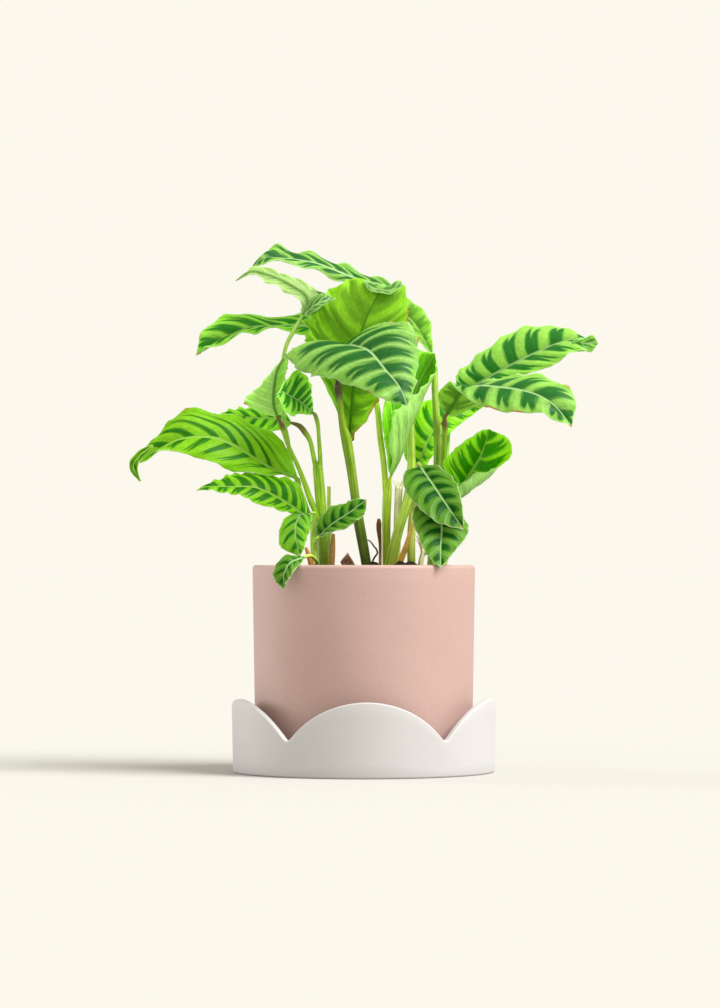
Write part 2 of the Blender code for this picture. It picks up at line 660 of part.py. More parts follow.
def turned(name, profile, kind, collection):
    """A solid of revolution from its profile (radius, height), outer side first, top to bottom."""
    bm = bmesh.new()
    corners = [bm.verts.new((radius * MM, 0.0, height * MM)) for radius, height in profile]
    for a, b in zip(corners, corners[1:]):
        bm.edges.new((a, b))
    if profile[0][0] > 0:
        bm.edges.new((corners[-1], corners[0]))
    obj = add_object(name, mesh_from(bm, name), kind, collection)
    screw = obj.modifiers.new("turning", "SCREW")
    screw.steps = TURNED_STEPS
    screw.render_steps = TURNED_STEPS
    screw.use_merge_vertices = True
    screw.merge_threshold = 0.00001
    mesh = applied(obj)
    mesh.shade_smooth()
    mesh.set_sharp_from_angle(angle=CREASE)
    return obj


def pot_radius(height):
    """The pot's outer radius at a height: a straight taper from rim to foot."""
    share = (height - POT_FOOT_HEIGHT) / (POT_RIM_HEIGHT - POT_FOOT_HEIGHT)
    return POT_FOOT_RADIUS + (POT_RIM_RADIUS - POT_FOOT_RADIUS) * share


def add_pot(collection):
    """The pot: a tapered cup with an eased rim and a drainage hole in its floor."""
    ease = POT_EDGE_ROUND
    rim, foot, inside = POT_RIM_HEIGHT, POT_FOOT_HEIGHT, POT_INSIDE_FLOOR
    profile = [
        (POT_RIM_RADIUS - ease, rim),
        (POT_RIM_RADIUS - ease * 0.3, rim - ease * 0.3),
        (POT_RIM_RADIUS, rim - ease),
        (POT_FOOT_RADIUS, foot + 2 * ease),
        (POT_FOOT_RADIUS - 2 * ease, foot),
        (DRAIN_RADIUS, foot),
        (DRAIN_RADIUS, inside),
        (pot_radius(inside) - POT_WALL, inside),
        (POT_RIM_RADIUS - POT_WALL, rim - ease),
        (POT_RIM_RADIUS - POT_WALL + ease * 0.3, rim - ease * 0.3),
        (POT_RIM_RADIUS - POT_WALL + ease, rim),
    ]
    return turned("pot", profile, "pot", collection)


def scallop_height(angle):
    """Height of the saucer's wall: round arcs that meet in notches, drawn on the unrolled wall."""
    half = SAUCER_RADIUS * math.pi / SCALLOPS
    rise = SAUCER_PEAK - SAUCER_NOTCH
    arc_radius = (half ** 2 + rise ** 2) / (2 * rise)
    turn = 2 * math.pi / SCALLOPS
    away = abs((angle / turn + 0.5) % 1.0 - 0.5) * turn * SAUCER_RADIUS
    return SAUCER_PEAK - arc_radius + math.sqrt(arc_radius ** 2 - away ** 2)


def add_saucer(collection):
    """The saucer: a dish with a scalloped wall, made as an open sheet and thickened inwards."""
    count = SCALLOPS * SCALLOP_STEPS
    bm = bmesh.new()
    bmesh.ops.create_circle(bm, cap_ends=True, segments=count, radius=SAUCER_FOOT_RADIUS * MM)
    ring = sorted(bm.verts, key=lambda vert: math.atan2(vert.co.y, vert.co.x) % math.tau)
    angles = {}
    for k, vert in enumerate(ring):
        step = k % SCALLOP_STEPS / SCALLOP_STEPS * 2 - 1
        eased = 0.45 * step + 0.55 * math.sin(step * math.pi / 2)
        middle = (k // SCALLOP_STEPS + 0.5) * math.tau / SCALLOPS
        angle = middle + eased * math.pi / SCALLOPS - math.pi / 2 + SCALLOP_TURN
        vert.co = (SAUCER_FOOT_RADIUS * MM * math.cos(angle), SAUCER_FOOT_RADIUS * MM * math.sin(angle), 0.0)
        angles[vert] = angle
    floor_edges = list(bm.edges)
    raised = bmesh.ops.extrude_edge_only(bm, edges=floor_edges)["geom"]
    for vert in (item for item in raised if isinstance(item, bmesh.types.BMVert)):
        angle = math.atan2(vert.co.y, vert.co.x)
        height = scallop_height(angle + math.pi / 2 - SCALLOP_TURN)
        out = SAUCER_RADIUS * MM
        vert.co = (out * math.cos(angle), out * math.sin(angle), height * MM)
    bmesh.ops.recalc_face_normals(bm, faces=bm.faces)
    if sum(face.calc_center_median().dot(face.normal) for face in bm.faces) < 0:
        bmesh.ops.reverse_faces(bm, faces=bm.faces)
    obj = add_object("saucer", mesh_from(bm, "saucer"), "saucer", collection)
    solid = obj.modifiers.new("wall", "SOLIDIFY")
    solid.thickness = SAUCER_WALL * MM
    solid.offset = -1.0
    solid.use_even_offset = True
    bevel = obj.modifiers.new("eased_edge", "BEVEL")
    bevel.width = SAUCER_EDGE_ROUND * MM
    bevel.segments = 2
    bevel.limit_method = "ANGLE"
    bevel.angle_limit = math.radians(50)
    obj.data.shade_smooth()
    return obj


def soil_height(x, y):
    """The soil's surface: highest at the clump, with small even lumps."""
    share = min(math.hypot(x, y) / (POT_RIM_RADIUS - POT_WALL), 1.0)
    lumps = math.sin(x * 0.31 + 1.7 * math.sin(y * 0.13)) * math.cos(y * 0.27 + 0.9)
    return SOIL_EDGE_HEIGHT + SOIL_MOUND * (1 - share ** 2) + 0.9 * lumps * (1 - share ** 6)


def add_cutter(name, bm, cutters):
    cutter = bpy.data.objects.new(name, mesh_from(bm, name))
    cutter.hide_render = True
    cutter.display_type = "WIRE"
    cutters.objects.link(cutter)
    return cutter


def hole_cutter(name, branch, cutters):
    """A plain round hole around a stem's foot, a little wider and deeper than the stem."""
    foot, above = Vector(branch[0]), Vector(branch[1])
    path = smooth_path(branch_points(branch), 40)
    axis = (above.to_3d() - foot.to_3d()).normalized()
    buried = [place for place in path if place.z < SOIL_EDGE_HEIGHT + SOIL_MOUND + 4]
    stray = max(((place.to_3d() - foot.to_3d()) - axis * (place.to_3d() - foot.to_3d()).dot(axis)).length
                for place in buried)
    radius = (max(place.w for place in buried) + HOLE_CLEARANCE + stray) / math.cos(math.pi / HOLE_SIDES)
    bm = bmesh.new()
    bmesh.ops.create_cone(bm, cap_ends=True, segments=HOLE_SIDES, radius1=radius * MM,
                          radius2=radius * MM, depth=HOLE_LENGTH * MM)
    middle = foot.to_3d() + axis * (HOLE_LENGTH / 2 - HOLE_CLEARANCE)
    turn = Vector((0, 0, 1)).rotation_difference(axis).to_matrix().to_4x4()
    bmesh.ops.transform(bm, matrix=Matrix.Translation(middle * MM) @ turn, verts=bm.verts)
    return add_cutter(name, bm, cutters)


def chip_shape(grow):
    """The bark chip as a skewed block; grow widens it all round."""
    bm = bmesh.new()
    bmesh.ops.create_cube(bm, size=1.0)
    size = Vector(CHIP_SIZE) + Vector((2 * grow, 2 * grow, 2 * grow))
    for vert in bm.verts:
        vert.co = Vector(((vert.co.x + CHIP_SKEW * vert.co.y) * size.x, vert.co.y * size.y,
                          (vert.co.z + CHIP_SKEW * vert.co.x) * size.z)) * MM
    turn = Matrix.Identity(4)
    for axis, degrees in zip("XYZ", CHIP_TURNS):
        turn = Matrix.Rotation(math.radians(degrees), 4, axis) @ turn
    bmesh.ops.transform(bm, matrix=Matrix.Translation(Vector(CHIP_CENTRE) * MM) @ turn, verts=bm.verts)
    return bm


def add_bark_chip(collection):
    obj = add_object("bark_chip", mesh_from(chip_shape(0.0), "bark_chip"), "dry", collection)
    bevel = obj.modifiers.new("worn_edges", "BEVEL")
    bevel.width = CHIP_EDGE * MM
    bevel.segments = 1
    return obj


def add_soil(collection, cutters):
    """The soil: fills the pot, mounds up to the clump, and is pierced where stems and chip stand."""
    inner = pot_radius(SOIL_FLOOR) - POT_WALL - CONTACT_GAP
    outer = pot_radius(SOIL_EDGE_HEIGHT) - POT_WALL - CONTACT_GAP
    profile = [*((ring, SOIL_EDGE_HEIGHT) for ring in (0.0, *SOIL_RINGS, outer)),
               (inner, SOIL_FLOOR), (0.0, SOIL_FLOOR)]
    soil = turned("soil", profile, "soil", collection)
    for vert in soil.data.vertices:
        x, y, z = vert.co / MM
        if z > SOIL_EDGE_HEIGHT - 1 and math.hypot(x, y) < outer - 1:
            vert.co.z = soil_height(x, y) * MM
    clods = []
    for k, (centre, radius) in enumerate(SOIL_CLODS):
        bm = bmesh.new()
        bmesh.ops.create_icosphere(bm, subdivisions=2, radius=radius * MM)
        for vert in bm.verts:
            lump = 1 + 0.14 * math.sin(vert.co.x / MM * 1.1 + k) * math.cos(vert.co.y / MM * 0.9 + 2 * k)
            vert.co = Vector((vert.co.x * lump, vert.co.y * lump, vert.co.z * lump * 0.75))
        bmesh.ops.translate(bm, verts=bm.verts, vec=Vector(centre) * MM)
        clod = bpy.data.objects.new(f"clod_{k}", mesh_from(bm, f"clod_{k}"))
        bpy.context.scene.collection.objects.link(clod)
        clods.append(clod)
    join_by_union(soil, clods)
    holes = [add_cutter("chip_slot", chip_shape(HOLE_CLEARANCE), cutters)]
    for name, branches in STEMS.items():
        for k, branch in enumerate(branches):
            if branch[0][2] < SOIL_EDGE_HEIGHT:
                holes.append(hole_cutter(f"{name}_hole_{k}", branch, cutters))
    for hole in holes:
        cut = soil.modifiers.new(hole.name, "BOOLEAN")
        cut.operation = "DIFFERENCE"
        cut.object = hole
    return soil


def main():
    clear_scene()
    plant = new_collection("potted_zebra_calathea")
    cutters = new_collection("cutters")
    for name, spec in LEAVES.items():
        add_blade(name, spec, plant)
    for name, branches in STEMS.items():
        add_stem(name, branches, plant)
    add_bark_chip(plant)
    add_soil(plant, cutters)
    add_pot(plant)
    add_saucer(plant)


main()
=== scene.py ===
# %% [markdown]
# # A zebra calathea in its pot
#
# The solids of this plant are already packed as a frame: blades, stalks, soil, pot and saucer, each at its
# real size and place. This script dresses them. It lays finer leaves on the same surfaces, gives them the
# dark bars and pale veins that the plant is named for, and finishes the pot as matt stoneware. Everything
# is in metres, except the tables of points, which are in millimetres like the part's own.

# %% Load the frame
import math
import random

import bmesh
import bpy
from mathutils import Matrix, Vector, noise


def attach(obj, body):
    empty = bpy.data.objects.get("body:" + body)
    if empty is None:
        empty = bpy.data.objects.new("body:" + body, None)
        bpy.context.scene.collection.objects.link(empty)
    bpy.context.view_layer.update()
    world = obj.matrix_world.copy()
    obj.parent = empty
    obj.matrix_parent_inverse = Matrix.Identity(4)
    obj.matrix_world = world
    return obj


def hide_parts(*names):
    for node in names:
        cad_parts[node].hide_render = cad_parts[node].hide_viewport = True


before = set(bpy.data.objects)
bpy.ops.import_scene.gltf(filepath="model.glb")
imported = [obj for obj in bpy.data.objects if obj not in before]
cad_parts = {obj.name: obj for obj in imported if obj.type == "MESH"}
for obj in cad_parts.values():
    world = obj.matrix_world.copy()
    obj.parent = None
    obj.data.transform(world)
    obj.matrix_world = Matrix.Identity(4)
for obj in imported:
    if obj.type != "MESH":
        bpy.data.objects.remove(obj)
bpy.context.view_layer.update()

MM = 0.001

# %% [markdown]
# ## Helpers
#
# A shader is a graph, and building it by hand takes a lot of typing. One function adds a node, sets its
# options and fills its inputs, each with a plain value or with a link from another node. Colours are
# written as the hex values that a paint program shows, and one function turns them into the linear light
# that Blender mixes.

# %% Colours and nodes
def linear(hex_colour):
    """The linear RGBA of an sRGB hex colour."""
    channels = [int(hex_colour[i:i + 2], 16) / 255 for i in (1, 3, 5)]
    return (*(c / 12.92 if c <= 0.04045 else ((c + 0.055) / 1.055) ** 2.4 for c in channels), 1.0)


def add(tree, kind, inputs=None, **settings):
    """Adds a shader node; inputs maps a socket's name or number to a value, hex colour, socket or node."""
    node = tree.nodes.new("ShaderNode" + kind)
    for key, value in settings.items():
        setattr(node, key, value)
    for key, value in (inputs or {}).items():
        if isinstance(value, bpy.types.Node):
            value = value.outputs[0]
        if isinstance(value, bpy.types.NodeSocket):
            tree.links.new(value, node.inputs[key])
        else:
            node.inputs[key].default_value = linear(value) if isinstance(value, str) else value
    return node


def new_material(name):
    """An empty material with its node tree and output."""
    made = bpy.data.materials.new(name)
    made.use_nodes = True
    made.node_tree.nodes.clear()
    print("finish:", name)
    return made, made.node_tree, made.node_tree.nodes.new("ShaderNodeOutputMaterial")


# %% [markdown]
# A finished piece is a mesh object at the origin. This helper makes one from a bmesh, names it, sets it to
# ride on the plant's one body, and hides the frame's nodes that it stands for.

# %% Pieces
def piece(name, bm, materials, slot, *replaced):
    """A mesh object from a bmesh, riding on the plant's one body."""
    mesh = bpy.data.meshes.new(name)
    bm.to_mesh(mesh)
    bm.free()
    for finish in materials:
        mesh.materials.append(finish)
    mesh.shade_smooth()
    made = bpy.data.objects.new(name, mesh)
    bpy.context.scene.collection.objects.link(made)
    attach(made, "root")
    if replaced:
        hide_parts(*replaced)
    print("piece:", name, "with", len(mesh.polygons), "faces")
    return made


# %% [markdown]
# ## Camera and light
#
# The picture was taken from nearly three metres with a long lens, almost level with the pot's rim, so the
# rim reads as a straight line. The room is a white sweep: light comes evenly from all round, with one large
# soft lamp high on the right and a low one behind on the left that brightens the pot's left edge.

# %% Camera
CAMERA_DISTANCE = 2.825
CAMERA_HEIGHT = 0.165
CAMERA_LENS = 126.1
SENSOR_WIDTH = 36.0
# In pixels: the picture's height, its focal length, how far the horizon lies below its middle, and how far
# the pot's axis lies to the right of it
PICTURE_HEIGHT = 1008
FOCAL_PIXELS = 3531
HORIZON_DROP = 61
AXIS_OFFSET = 3.8

camera_data = bpy.data.cameras.new("camera")
camera_data.lens = CAMERA_LENS
camera_data.sensor_width = SENSOR_WIDTH
camera_data.shift_x = -AXIS_OFFSET / PICTURE_HEIGHT
camera = bpy.data.objects.new("camera", camera_data)
camera.location = (0.0, -CAMERA_DISTANCE, CAMERA_HEIGHT)
camera.rotation_euler = (math.pi / 2 + math.atan2(HORIZON_DROP, FOCAL_PIXELS), 0.0, 0.0)
bpy.context.scene.collection.objects.link(camera)
bpy.context.scene.camera = camera
bpy.context.scene.view_settings.view_transform = "Standard"
print("camera:", CAMERA_LENS, "mm lens,", CAMERA_DISTANCE, "m away")

# %% Light
BACKDROP = "#fcf8ed"
# Each lamp: the way to it, its strength, and how wide it looks from the plant, in degrees
LAMPS = {
    "key_light": (Vector((0.92, -0.42, 1.2)), 4.8, 34),
    "rim_light": (Vector((-0.92, 0.39, 0.12)), 1.5, 24),
}

for name, (direction, strength, spread) in LAMPS.items():
    data = bpy.data.lights.new(name, "SUN")
    data.energy = strength
    data.angle = math.radians(spread)
    lamp = bpy.data.objects.new(name, data)
    lamp.rotation_euler = direction.to_track_quat("Z", "Y").to_euler()
    bpy.context.scene.collection.objects.link(lamp)
    print("lamp:", name, "of strength", strength)

world = bpy.data.worlds.new("white_sweep")
world.use_nodes = True
world.node_tree.nodes["Background"].inputs["Color"].default_value = linear(BACKDROP)
bpy.context.scene.world = world

# %% [markdown]
# The floor is the same sweep. It is matt, and just grey enough that the room's light and the two lamps
# together bring it to the backdrop's tone, so only the plant's soft shadow shows where it stands.

# %% Floor
FLOOR_RADIUS = 40.0
FLOOR_SEGMENTS = 64

key, rim = (strength / math.pi * direction.normalized().z for direction, strength, _ in LAMPS.values())
paper_tone = [c / (c + key + rim) for c in Vector(linear(BACKDROP)[:3])]
paper, tree, output = new_material("matt_paper_sweep")
diffuse = add(tree, "BsdfDiffuse", {"Color": (*paper_tone, 1.0)})
tree.links.new(diffuse.outputs[0], output.inputs["Surface"])
floor_mesh = bpy.data.meshes.new("floor")
bm = bmesh.new()
bmesh.ops.create_circle(bm, cap_ends=True, segments=FLOOR_SEGMENTS, radius=FLOOR_RADIUS)
bm.to_mesh(floor_mesh)
bm.free()
floor_mesh.materials.append(paper)
floor = bpy.data.objects.new("floor", floor_mesh)
bpy.context.scene.collection.objects.link(floor)
print("floor tone", [round(c, 3) for c in paper_tone])

# %% [markdown]
# ## The leaves' shape
#
# A calathea leaf is an oval that ends in a short point. Each one here is a smooth surface between a midrib
# and two edges: points along the midrib, and a few ribs that say where the left and right edges lie. A blade
# arches between them and its rim waves a little. The same points and formula made the solids, so these finer
# blades lie exactly where the solids do.

# %% The leaves' points
# Each blade: points along its midrib from root to tip, and ribs as (share of length, left edge, right
# edge), with left as seen from above with the tip ahead. arch is how far each half domes upwards as a
# share of its width, which a rib may change, and wave the rise of its wavy edge and the number of waves.
LEAVES = {
    "leaf_top_sweep": dict(
        midrib=[(27, 19, 386), (13, 19, 391), (-6, 19, 396), (-24, 18, 403), (-42, 15, 409),
                (-68, 11, 412), (-82, 8, 411), (-92, 4, 401)],
        ribs=[
            (0.15, (17, 15, 386), (16, 28, 395)),
            (0.35, (-15, 12, 393), (-10, 31, 404)),
            (0.55, (-42, 6, 402), (-37, 29, 415)),
            (0.75, (-62, 2, 407), (-62, 24, 420)),
            (0.90, (-81, 1, 407), (-79, 15, 418)),
        ],
        arch=(0.1, 0.1), wave=(1.6, 5),
    ),
    "leaf_top_left": dict(
        midrib=[(-49, -8, 364), (-44, -8, 373), (-47, -7, 381), (-57, -8, 388), (-72, -10, 395),
                (-89, -14, 399), (-102, -16, 391)],
        ribs=[
            (0.13, (-38, -17, 373), (-51, -9, 368), (0.85, 0.1)),
            (0.24, (-29, -13, 379), (-50, -11, 375), (0.5, 0.1)),
            (0.40, (-37, 2, 385), (-57, -12, 379), (0.1, 0.1)),
            (0.58, (-56, 2, 396), (-69, -14, 387)),
            (0.75, (-73, -4, 401), (-79, -15, 391)),
            (0.90, (-90, -11, 402), (-91, -16, 396)),
        ],
        arch=(0.1, 0.1), wave=(0.8, 4),
    ),
    "leaf_mid_left": dict(
        midrib=[(-26, 14, 349), (-49, 20, 358), (-68, 21, 358), (-90, 20, 357), (-104, 19, 352),
                (-117, 18, 346), (-135, 14, 334)],
        ribs=[
            (0.20, (-46, 14, 351), (-43, 30, 369)),
            (0.40, (-78, 12, 354), (-78, 34, 365)),
            (0.60, (-95, 9, 350), (-99, 33, 370)),
            (0.80, (-119, 9, 342), (-120, 28, 363)),
            (0.92, (-128, 10, 337), (-132, 20, 351)),
        ],
        arch=(0.1, 0.1), wave=(1.0, 4),
    ),
    "leaf_tall_centre": dict(
        midrib=[(-12, 5, 263), (-10, 6, 281), (-8, 4, 309), (-5, 1, 337), (0, -2, 357), (7, -2, 373),
                (14, 2, 383), (23, 9, 387)],
        ribs=[
            (0.10, (-8, 0, 267), (-20, 8, 283)),
            (0.25, (6, 2, 286), (-34, 10, 314)),
            (0.42, (16, 2, 308), (-46, 8, 339)),
            (0.58, (31, 1, 339), (-48, 6, 355)),
            (0.72, (36, 2, 361), (-41, 5, 376)),
            (0.86, (35, 5, 381), (-21, 7, 390)),
            (0.95, (31, 8, 390), (-1, 8, 394)),
        ],
        arch=(-0.05, -0.05), wave=(1.2, 5),
    ),
    "leaf_front": dict(
        midrib=[(-21, -9, 314), (-20, -13, 328), (-15, -22, 339), (-6, -34, 338), (5, -46, 333),
                (17, -61, 318), (28, -71, 304), (34, -76, 289)],
        ribs=[
            (0.12, (-9, -8, 335), (-36, -12, 327)),
            (0.27, (9, -12, 353), (-61, -20, 336)),
            (0.42, (31, -22, 359), (-55, -36, 319)),
            (0.57, (44, -36, 343), (-35, -50, 312)),
            (0.75, (43, -52, 320), (-9, -66, 305)),
            (0.90, (39, -66, 300), (16, -78, 293)),
        ],
        arch=(0.1, 0.12), wave=(1.8, 5),
    ),
    "leaf_behind_right": dict(
        midrib=[(54, 14, 335), (48, 18, 348), (39, 28, 363), (26, 42, 372), (12, 56, 375), (-1, 66, 370)],
        ribs=[
            (0.20, (39, 12, 352), (55, 18, 348)),
            (0.40, (29, 29, 357), (53, 27, 364)),
            (0.60, (15, 43, 362), (42, 40, 378)),
            (0.80, (0, 54, 366), (23, 58, 382)),
        ],
        arch=(0.1, 0.1), wave=(0.6, 3),
    ),
    "leaf_furled": dict(
        midrib=[(22, 4, 237), (27, 6, 253), (31, 9, 269), (36, 12, 288), (42, 13, 306), (49, 12, 322),
                (57, 8, 335)],
        ribs=[
            (0.15, (19, 0, 250), (21, -6, 248), (0.1, -0.37)),
            (0.35, (16, -2, 267), (20, -12, 266), (0.1, -0.4)),
            (0.55, (15, -4, 289), (23, -14, 288), (0.1, -0.45)),
            (0.75, (26, 3, 316), (42, -9, 303), (0.1, -0.31)),
            (0.90, (44, 4, 337), (58, 1, 323), (0.1, -0.25)),
        ],
        arch=(0.1, 0.1), wave=(0.4, 3),
    ),
    "leaf_behind_stems": dict(
        midrib=[(44, 14, 242), (49, 20, 258), (56, 26, 273), (67, 33, 285), (84, 41, 292),
                (100, 48, 296)],
        ribs=[
            (0.20, (32, 22, 255), (51, 20, 246)),
            (0.42, (34, 32, 282), (61, 25, 261)),
            (0.62, (49, 39, 298), (76, 32, 277)),
            (0.84, (75, 47, 300), (90, 43, 288)),
        ],
        arch=(0.1, 0.1), wave=(1.0, 4),
    ),
    "leaf_upper_right": dict(
        midrib=[(77, 52, 306), (88, 49, 310), (111, 42, 323), (139, 33, 337), (166, 25, 347),
                (187, 20, 345)],
        ribs=[
            (0.12, (72, 60, 316), (89, 43, 306)),
            (0.32, (89, 60, 333), (117, 30, 315)),
            (0.54, (121, 55, 356), (147, 16, 323)),
            (0.76, (154, 44, 360), (167, 11, 335)),
            (0.90, (172, 31, 353), (180, 14, 339)),
        ],
        arch=(0.1, 0.1), wave=(1.0, 4),
    ),
    "leaf_lower_right": dict(
        midrib=[(67, 6, 286), (73, 2, 295), (78, -5, 304), (85, -12, 308), (102, -25, 307),
                (130, -37, 302), (149, -43, 292), (164, -45, 274)],
        ribs=[
            (0.10, (76, 5, 285), (59, 4, 300)),
            (0.20, (92, 8, 293), (66, -4, 310)),
            (0.34, (96, 2, 308), (81, -24, 298)),
            (0.55, (124, -14, 316), (107, -42, 286)),
            (0.75, (152, -28, 312), (134, -52, 284)),
            (0.90, (168, -38, 294), (154, -50, 278)),
        ],
        arch=(0.1, 0.1), wave=(1.0, 4),
    ),
    "leaf_left_small_up": dict(
        midrib=[(-41, 3, 287), (-48, -9, 293), (-54, -20, 297), (-60, -30, 300), (-64, -36, 302),
                (-68, -42, 300)],
        ribs=[
            (0.20, (-45, -4, 285), (-42, 4, 304)),
            (0.40, (-51, -16, 285), (-43, -6, 313)),
            (0.62, (-58, -27, 283), (-54, -18, 320)),
            (0.84, (-66, -38, 293), (-62, -32, 311)),
        ],
        arch=(0.1, 0.1), wave=(1.0, 4),
    ),
    "leaf_left_back_face": dict(
        midrib=[(-69, -4, 284), (-72, -8, 293), (-72, -12, 302), (-71, -16, 311), (-69, -18, 320),
                (-64, -18, 329), (-62, -16, 334)],
        ribs=[
            (0.15, (-64, -2, 289), (-86, -6, 288)),
            (0.36, (-61, -5, 300), (-96, -10, 296)),
            (0.60, (-62, -11, 315), (-82, -13, 309)),
            (0.82, (-60, -15, 325), (-71, -17, 322)),
        ],
        arch=(0.1, 0.1), wave=(1.0, 4),
    ),
    "leaf_left_hidden": dict(
        midrib=[(-58, 8, 279), (-71, 17, 283), (-88, 26, 284), (-103, 32, 286), (-117, 36, 287)],
        ribs=[
            (0.20, (-69, 13, 273), (-68, 22, 293)),
            (0.45, (-85, 23, 272), (-86, 34, 294)),
            (0.70, (-100, 29, 276), (-102, 40, 292)),
            (0.90, (-111, 34, 282), (-113, 39, 290)),
        ],
        arch=(0.1, 0.1), wave=(0.6, 3),
    ),
    "leaf_left_large": dict(
        midrib=[(-56, 0, 235), (-67, -3, 239), (-77, -5, 243), (-88, -7, 250), (-105, -10, 261),
                (-123, -12, 267), (-147, -14, 265), (-169, -18, 254), (-180, -21, 249),
                (-185, -23, 242), (-178, -24, 232)],
        ribs=[
            (0.08, (-64, -8, 236), (-57, 5, 248)),
            (0.22, (-81, -18, 237), (-67, 9, 265)),
            (0.40, (-108, -24, 241), (-94, 10, 281)),
            (0.57, (-135, -26, 251), (-125, 4, 289)),
            (0.72, (-159, -24, 255), (-152, -4, 284)),
            (0.84, (-177, -22, 247), (-176, -17, 257)),
            (0.93, (-183, -22, 240), (-186, -22, 245)),
        ],
        arch=(0.1, 0.1), wave=(1.4, 5),
    ),
    "leaf_left_low": dict(
        midrib=[(-47, -16, 204), (-62, -22, 215), (-77, -28, 223), (-88, -31, 227), (-104, -34, 227),
                (-124, -36, 227), (-132, -36, 224)],
        ribs=[
            (0.12, (-55, -22, 205), (-46, -12, 217)),
            (0.30, (-69, -32, 209), (-57, -9, 233)),
            (0.50, (-85, -39, 214), (-81, -9, 237)),
            (0.70, (-102, -41, 221), (-101, -18, 238)),
            (0.88, (-117, -39, 223), (-118, -29, 232)),
        ],
        arch=(0.1, 0.1), wave=(1.0, 4),
    ),
    "leaf_small_hanging": dict(
        midrib=[(-42, -20, 206), (-50, -30, 205), (-54, -35, 195), (-53, -37, 184), (-50, -37, 172)],
        ribs=[
            (0.22, (-42, -25, 199), (-59, -31, 204)),
            (0.50, (-43, -30, 192), (-67, -36, 192)),
            (0.76, (-46, -34, 182), (-65, -37, 178)),
        ],
        arch=(0.1, 0.1), wave=(0.6, 3),
    ),
    "leaf_over_rim": dict(
        midrib=[(-47, -67, 171), (-57, -75, 167), (-62, -79, 158), (-62, -80, 146)],
        ribs=[
            (0.30, (-52, -77, 163), (-61, -70, 173)),
            (0.55, (-56, -82, 157), (-70, -72, 163)),
            (0.80, (-60, -82, 151), (-69, -77, 152)),
        ],
        arch=(0.1, 0.1), wave=(0.6, 3),
    ),
    "leaf_small_centre": dict(
        midrib=[(-36, -19, 187), (-26, -22, 197), (-11, -24, 207), (2, -24, 217)],
        ribs=[
            (0.20, (-38, -19, 198), (-29, -26, 190)),
            (0.45, (-27, -18, 211), (-17, -30, 193)),
            (0.70, (-14, -19, 215), (-5, -30, 200)),
            (0.90, (-4, -22, 218), (2, -27, 209)),
        ],
        arch=(0.1, 0.1), wave=(0.6, 3),
    ),
    "leaf_right_small_up": dict(
        midrib=[(45, -22, 243), (55, -38, 228), (64, -50, 214), (78, -64, 193)],
        ribs=[
            (0.15, (58, -22, 244), (33, -26, 240)),
            (0.35, (71, -34, 234), (31, -38, 229)),
            (0.58, (76, -47, 221), (40, -54, 213)),
            (0.80, (78, -59, 207), (58, -66, 198)),
        ],
        arch=(0.1, 0.1), wave=(0.6, 3),
    ),
    "leaf_right_small_low": dict(
        midrib=[(59, -38, 214), (61, -49, 202), (61, -57, 189), (60, -65, 177), (60, -72, 163)],
        ribs=[
            (0.15, (72, -38, 212), (43, -40, 214)),
            (0.35, (81, -46, 200), (38, -50, 204)),
            (0.60, (81, -57, 188), (42, -60, 188)),
            (0.82, (70, -67, 174), (50, -69, 172)),
        ],
        arch=(0.1, 0.1), wave=(0.6, 3),
    ),
    "leaf_right_spoon": dict(
        midrib=[(74, -8, 217), (79, -6, 228), (86, -4, 241), (94, -6, 254), (100, -14, 273)],
        ribs=[
            (0.20, (66, -10, 238), (77, -22, 231), (0.1, -0.58)),
            (0.40, (63, -13, 248), (91, -26, 238), (0.1, -0.5)),
            (0.60, (73, -14, 258), (106, -24, 243), (0.1, -0.3)),
            (0.80, (85, -15, 267), (118, -19, 255), (0.1, 0)),
            (0.93, (96, -15, 273), (112, -17, 268), (0.1, 0.1)),
        ],
        arch=(0.1, 0.1), wave=(0.8, 3),
    ),
}
print(len(LEAVES), "leaves in the table")

# %% [markdown]
# The table gives only a few points for each line. A curve through all of them without a corner takes its
# direction at each point from that point's two neighbours. Walking along it in equal steps gives the points
# in between.

# %% Smooth lines
STEPS_A_SPAN = 12


def spans(knots):
    """Each stretch between two knots, with the knot before it and the one after it."""
    knots = [2 * knots[0] - knots[1], *knots, 2 * knots[-1] - knots[-2]]
    return zip(knots, knots[1:], knots[2:], knots[3:])


def spline_point(before, start, end, after, u):
    """The point at share u between start and end on a smooth curve through four points."""
    return 0.5 * (2 * start + (end - before) * u
                  + (2 * before - 5 * start + 4 * end - after) * u ** 2
                  + (3 * start - before - 3 * end + after) * u ** 3)


def distances(points):
    """How far along a line of points each one lies."""
    travelled = [0.0]
    for a, b in zip(points, points[1:]):
        travelled.append(travelled[-1] + (b.to_3d() - a.to_3d()).length)
    return travelled


def smooth_path(points, count):
    """Points evenly spaced along a smooth curve through the given ones."""
    knots = [Vector(point) for point in points]
    shares = [step / STEPS_A_SPAN for step in range(STEPS_A_SPAN)]
    fine = [spline_point(*span, share) for span in spans(knots) for share in shares]
    fine.append(knots[-1])
    travelled = distances(fine)
    path = []
    k = 0
    for i in range(count):
        goal = travelled[-1] * i / (count - 1)
        while k < len(fine) - 2 and travelled[k + 1] < goal:
            k += 1
        share = (goal - travelled[k]) / max(travelled[k + 1] - travelled[k], 1e-9)
        path.append(fine[k].lerp(fine[k + 1], min(share, 1.0)))
    return path


# %% [markdown]
# Readings along a blade, such as how wide it is, are given at a few ribs only. The same idea fills them in:
# a curve that passes each reading with the slope between its neighbours.

